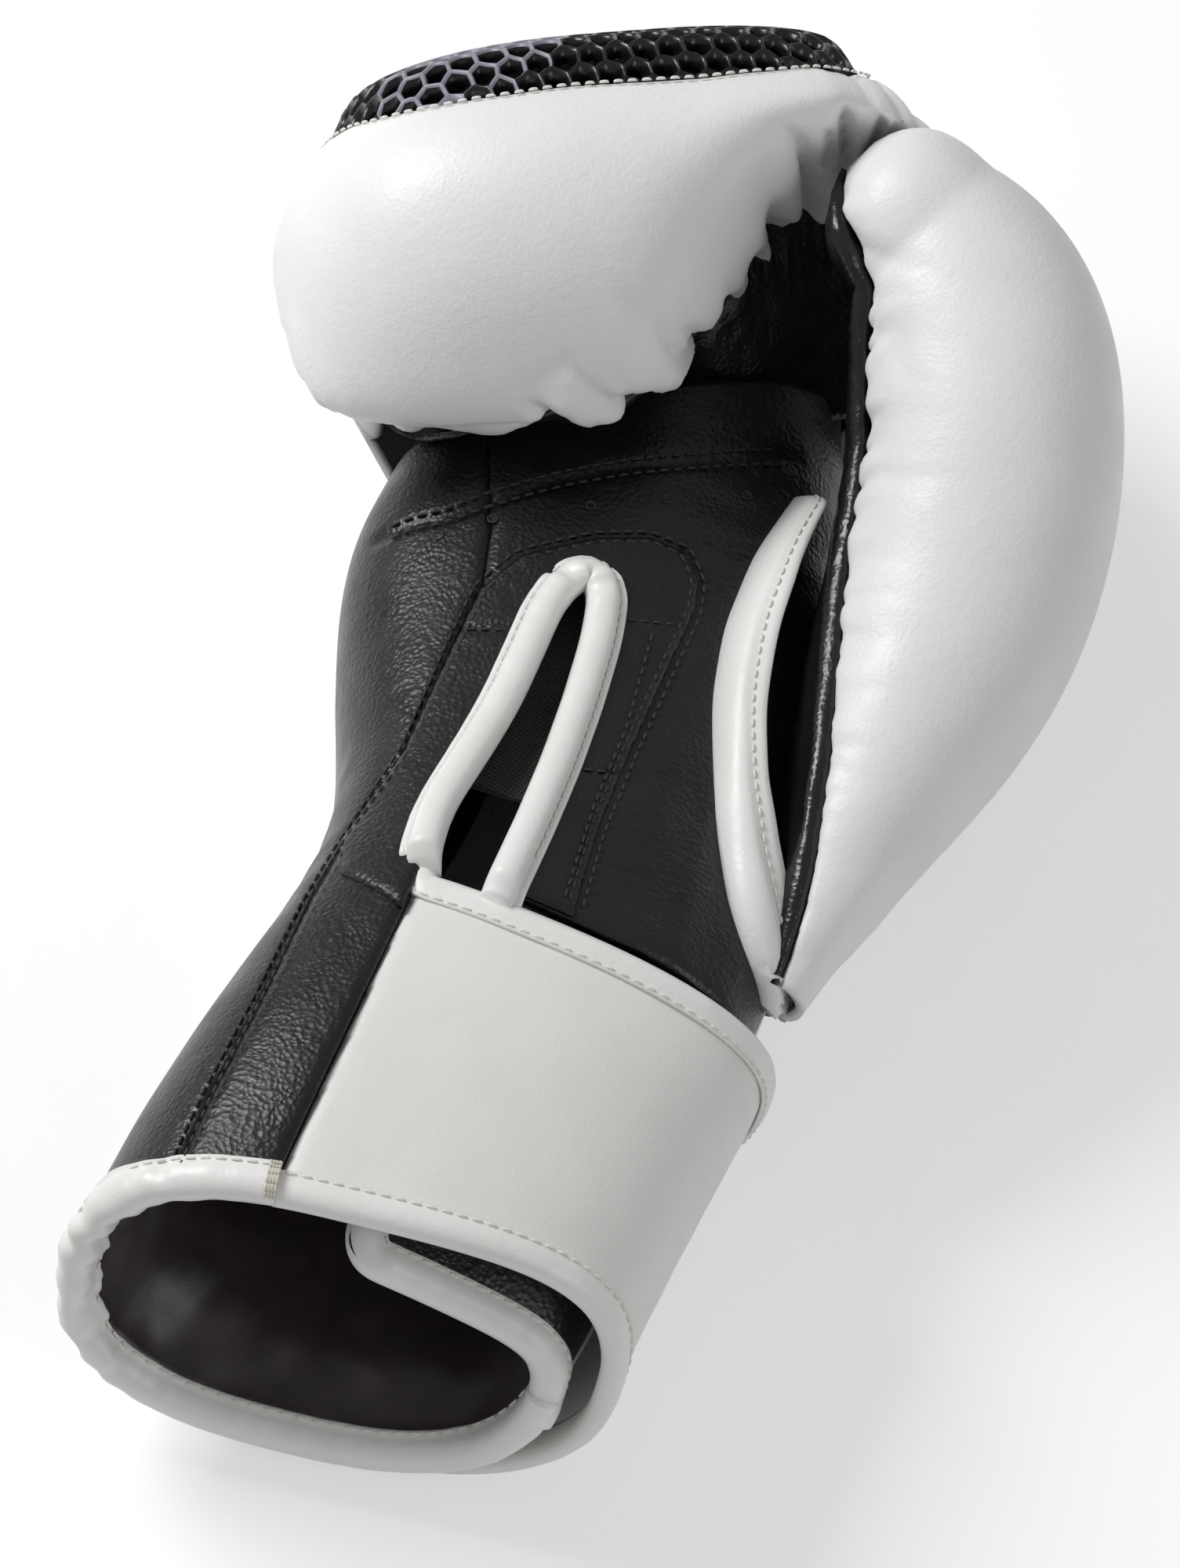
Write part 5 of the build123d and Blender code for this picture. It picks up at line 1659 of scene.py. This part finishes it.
# ---------- thumb root
def near_thumb_seam(p, d=None):
    """Within 5.5 mm of where the thumb meets the hand."""
    return 5.5 - np.abs(hand_outside(p) - 1.0)


def gusset_surface(dom):
    """Just inside the thumb's cover, so that the strip stays hidden until the thumb moves."""
    return thumb(dom) - 2.6 * normals(thumb, dom)


gusset = Patch(gusset_surface, 0, THUMB_ROUND, 0, THUMB_LENGTH, 2.0)
gusset.cut(lambda p, d: -3 - in_thumb_palm(p, d), False).cut(near_thumb_seam, False)
gusset.cut(lambda p, d: clear_of_fist(p) - 2, False).cut(lambda p, d: p[:, 1] + 33, False)
gusset_skin = skin("thumb_root_gusset", gusset, WHITE.mat, thick=1.2, roll=(1, 0.1))


for piece in (back_skin, side_skin, palm_skin, palm_stitches, vents, lining_skin):
    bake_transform(piece)
for piece in (strap_skin, top_band, low_band, strap_stitches):
    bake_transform(piece)
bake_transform(inner_skin)
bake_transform(gusset_skin)
for piece in (overlay_skin, slot_roll, elastic_web, leaf_piece, hem_piece, white_stitches, tack_piece):
    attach(piece, "hand")
for piece in (flap_skin, flap_satin, flap_binding, flap_stitches):
    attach(piece, "underlap")
for piece in (end_band, end_stitches):
    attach(piece, "strap_tail")
for piece in (fist_skin, grip_skin, pocket_skin, rim_stitches, upper_net, lower_net):
    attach(piece, "fist")
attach(thumb_skin, "thumb")

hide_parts("back_cover", "hand_foam")
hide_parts("side_panel")
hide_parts("palm_panel")
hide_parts("palm_overlay")
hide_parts("slot_binding")
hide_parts("slot_gusset")
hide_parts("thumb_web_binding")
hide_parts("cuff_hem_binding")
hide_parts("hand_lining")
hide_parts("underlap_cover")
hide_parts("underlap_lining")
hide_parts("underlap_binding")
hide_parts("strap_panel", "strap_tail")
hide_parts("strap_top_binding")
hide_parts("strap_bottom_binding")
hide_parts("strap_tail_binding")
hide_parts("fist_cover", "fist_foam")
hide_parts("grip_panel")
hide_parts("finger_lining")
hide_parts("lattice_pad")
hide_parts("thumb_cover", "thumb_foam")
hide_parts("thumb_inner_panel")


def finish_node(node, material):
    """Gives a CAD node that stays its Blender material."""
    mesh = bpy.data.objects[node].data
    mesh.materials.clear()
    mesh.materials.append(material)


finish_node("lattice_backing", SHEET.mat)
finish_node("grip_bar", PADDING.mat)
finish_node("thumb_lining", SATIN.mat)
finish_node("hook_patch", TAPE.mat)
finish_node("loop_patch", TAPE.mat)


# ---------- light, floor and camera
WORLD_STRENGTH = 0.31
LIGHT_TARGET = (0, 0, 0.05)


def set_world():
    """A soft light from all round, which the camera sees as plain white."""
    world = bpy.data.worlds.new("studio")
    bpy.context.scene.world = world
    world.use_nodes = True
    tree = world.node_tree
    out = tree.nodes["World Output"]
    soft = tree.nodes["Background"]
    soft.inputs["Color"].default_value = (1, 1, 1, 1)
    soft.inputs["Strength"].default_value = WORLD_STRENGTH
    white = tree.nodes.new("ShaderNodeBackground")
    white.inputs["Color"].default_value = (1, 1, 1, 1)
    white.inputs["Strength"].default_value = 1.0
    mix = tree.nodes.new("ShaderNodeMixShader")
    path = tree.nodes.new("ShaderNodeLightPath")
    tree.links.new(path.outputs["Is Camera Ray"], mix.inputs[0])
    tree.links.new(soft.outputs[0], mix.inputs[1])
    tree.links.new(white.outputs[0], mix.inputs[2])
    tree.links.new(mix.outputs[0], out.inputs["Surface"])


def area_light(name, place_at, size, power):
    """A square lamp that faces the middle of the glove."""
    data = bpy.data.lights.new(name, "AREA")
    data.shape = "RECTANGLE"
    data.size = data.size_y = size
    data.energy = power
    obj = bpy.data.objects.new(name, data)
    bpy.context.scene.collection.objects.link(obj)
    obj.location = place_at
    obj.rotation_euler = (Vector(LIGHT_TARGET) - Vector(place_at)).to_track_quat("-Z", "Y").to_euler()


set_world()
area_light("key", (-0.85, 0.25, 0.80), 0.5, 9.8)
area_light("fill", (0.9, -0.5, 0.8), 0.5, 2.6)

FLOOR_HALF, FLOOR_Z = 3000, -0.4


def set_floor():
    """Pale paper that looks a little brighter to the camera than the light on it makes it."""
    paper = plain("floor_paper", (0.80, 0.80, 0.80), (0.78, 0.78, 0.78), 0.9, 60, 0.05)
    rays = paper.node("ShaderNodeLightPath").outputs
    seen_by = {0: rays["Is Camera Ray"], 1: rays["Is Glossy Ray"]}
    seen = paper.node("ShaderNodeMath", seen_by, operation="MAXIMUM")
    glow = paper.node("ShaderNodeMath", {0: seen.outputs[0], 1: 0.36}, operation="MULTIPLY")
    paper.set(Emission_Color=(1, 1, 1, 1))
    paper.tree.links.new(glow.outputs[0], paper.shader.inputs["Emission Strength"])
    corners = [(x * FLOOR_HALF, y * FLOOR_HALF, FLOOR_Z) for x, y in ((-1, -1), (1, -1), (1, 1), (-1, 1))]
    add_mesh("floor", corners, [(0, 1, 2, 3)], paper.mat, False)


set_floor()


CAMERA_TARGET = (-0.005, -0.003, 0.050)


def set_camera():
    """Looks down 60 degrees along +Y, turned 16 degrees clockwise, from 1.3 m."""
    up, roll, distance = math.radians(60), math.radians(16), 1.3
    right = Vector((1, 0, 0))
    high = Vector((0, math.sin(up), math.cos(up)))
    back_to = Vector((0, -math.cos(up), math.sin(up)))
    x = right * math.cos(roll) + high * math.sin(roll)
    y = high * math.cos(roll) - right * math.sin(roll)
    data = bpy.data.cameras.new("camera")
    data.sensor_fit = "VERTICAL"
    data.sensor_height = 36
    data.lens = 143.9
    data.clip_end = 20
    cam = bpy.data.objects.new("camera", data)
    bpy.context.scene.collection.objects.link(cam)
    at = Vector(CAMERA_TARGET) + back_to * distance
    m = cam.matrix_world.copy()
    for i in range(3):
        m[i][0], m[i][1], m[i][2], m[i][3] = x[i], y[i], back_to[i], at[i]
    cam.matrix_world = m
    bpy.context.scene.camera = cam


set_camera()
bpy.context.scene.view_settings.view_transform = "Standard"
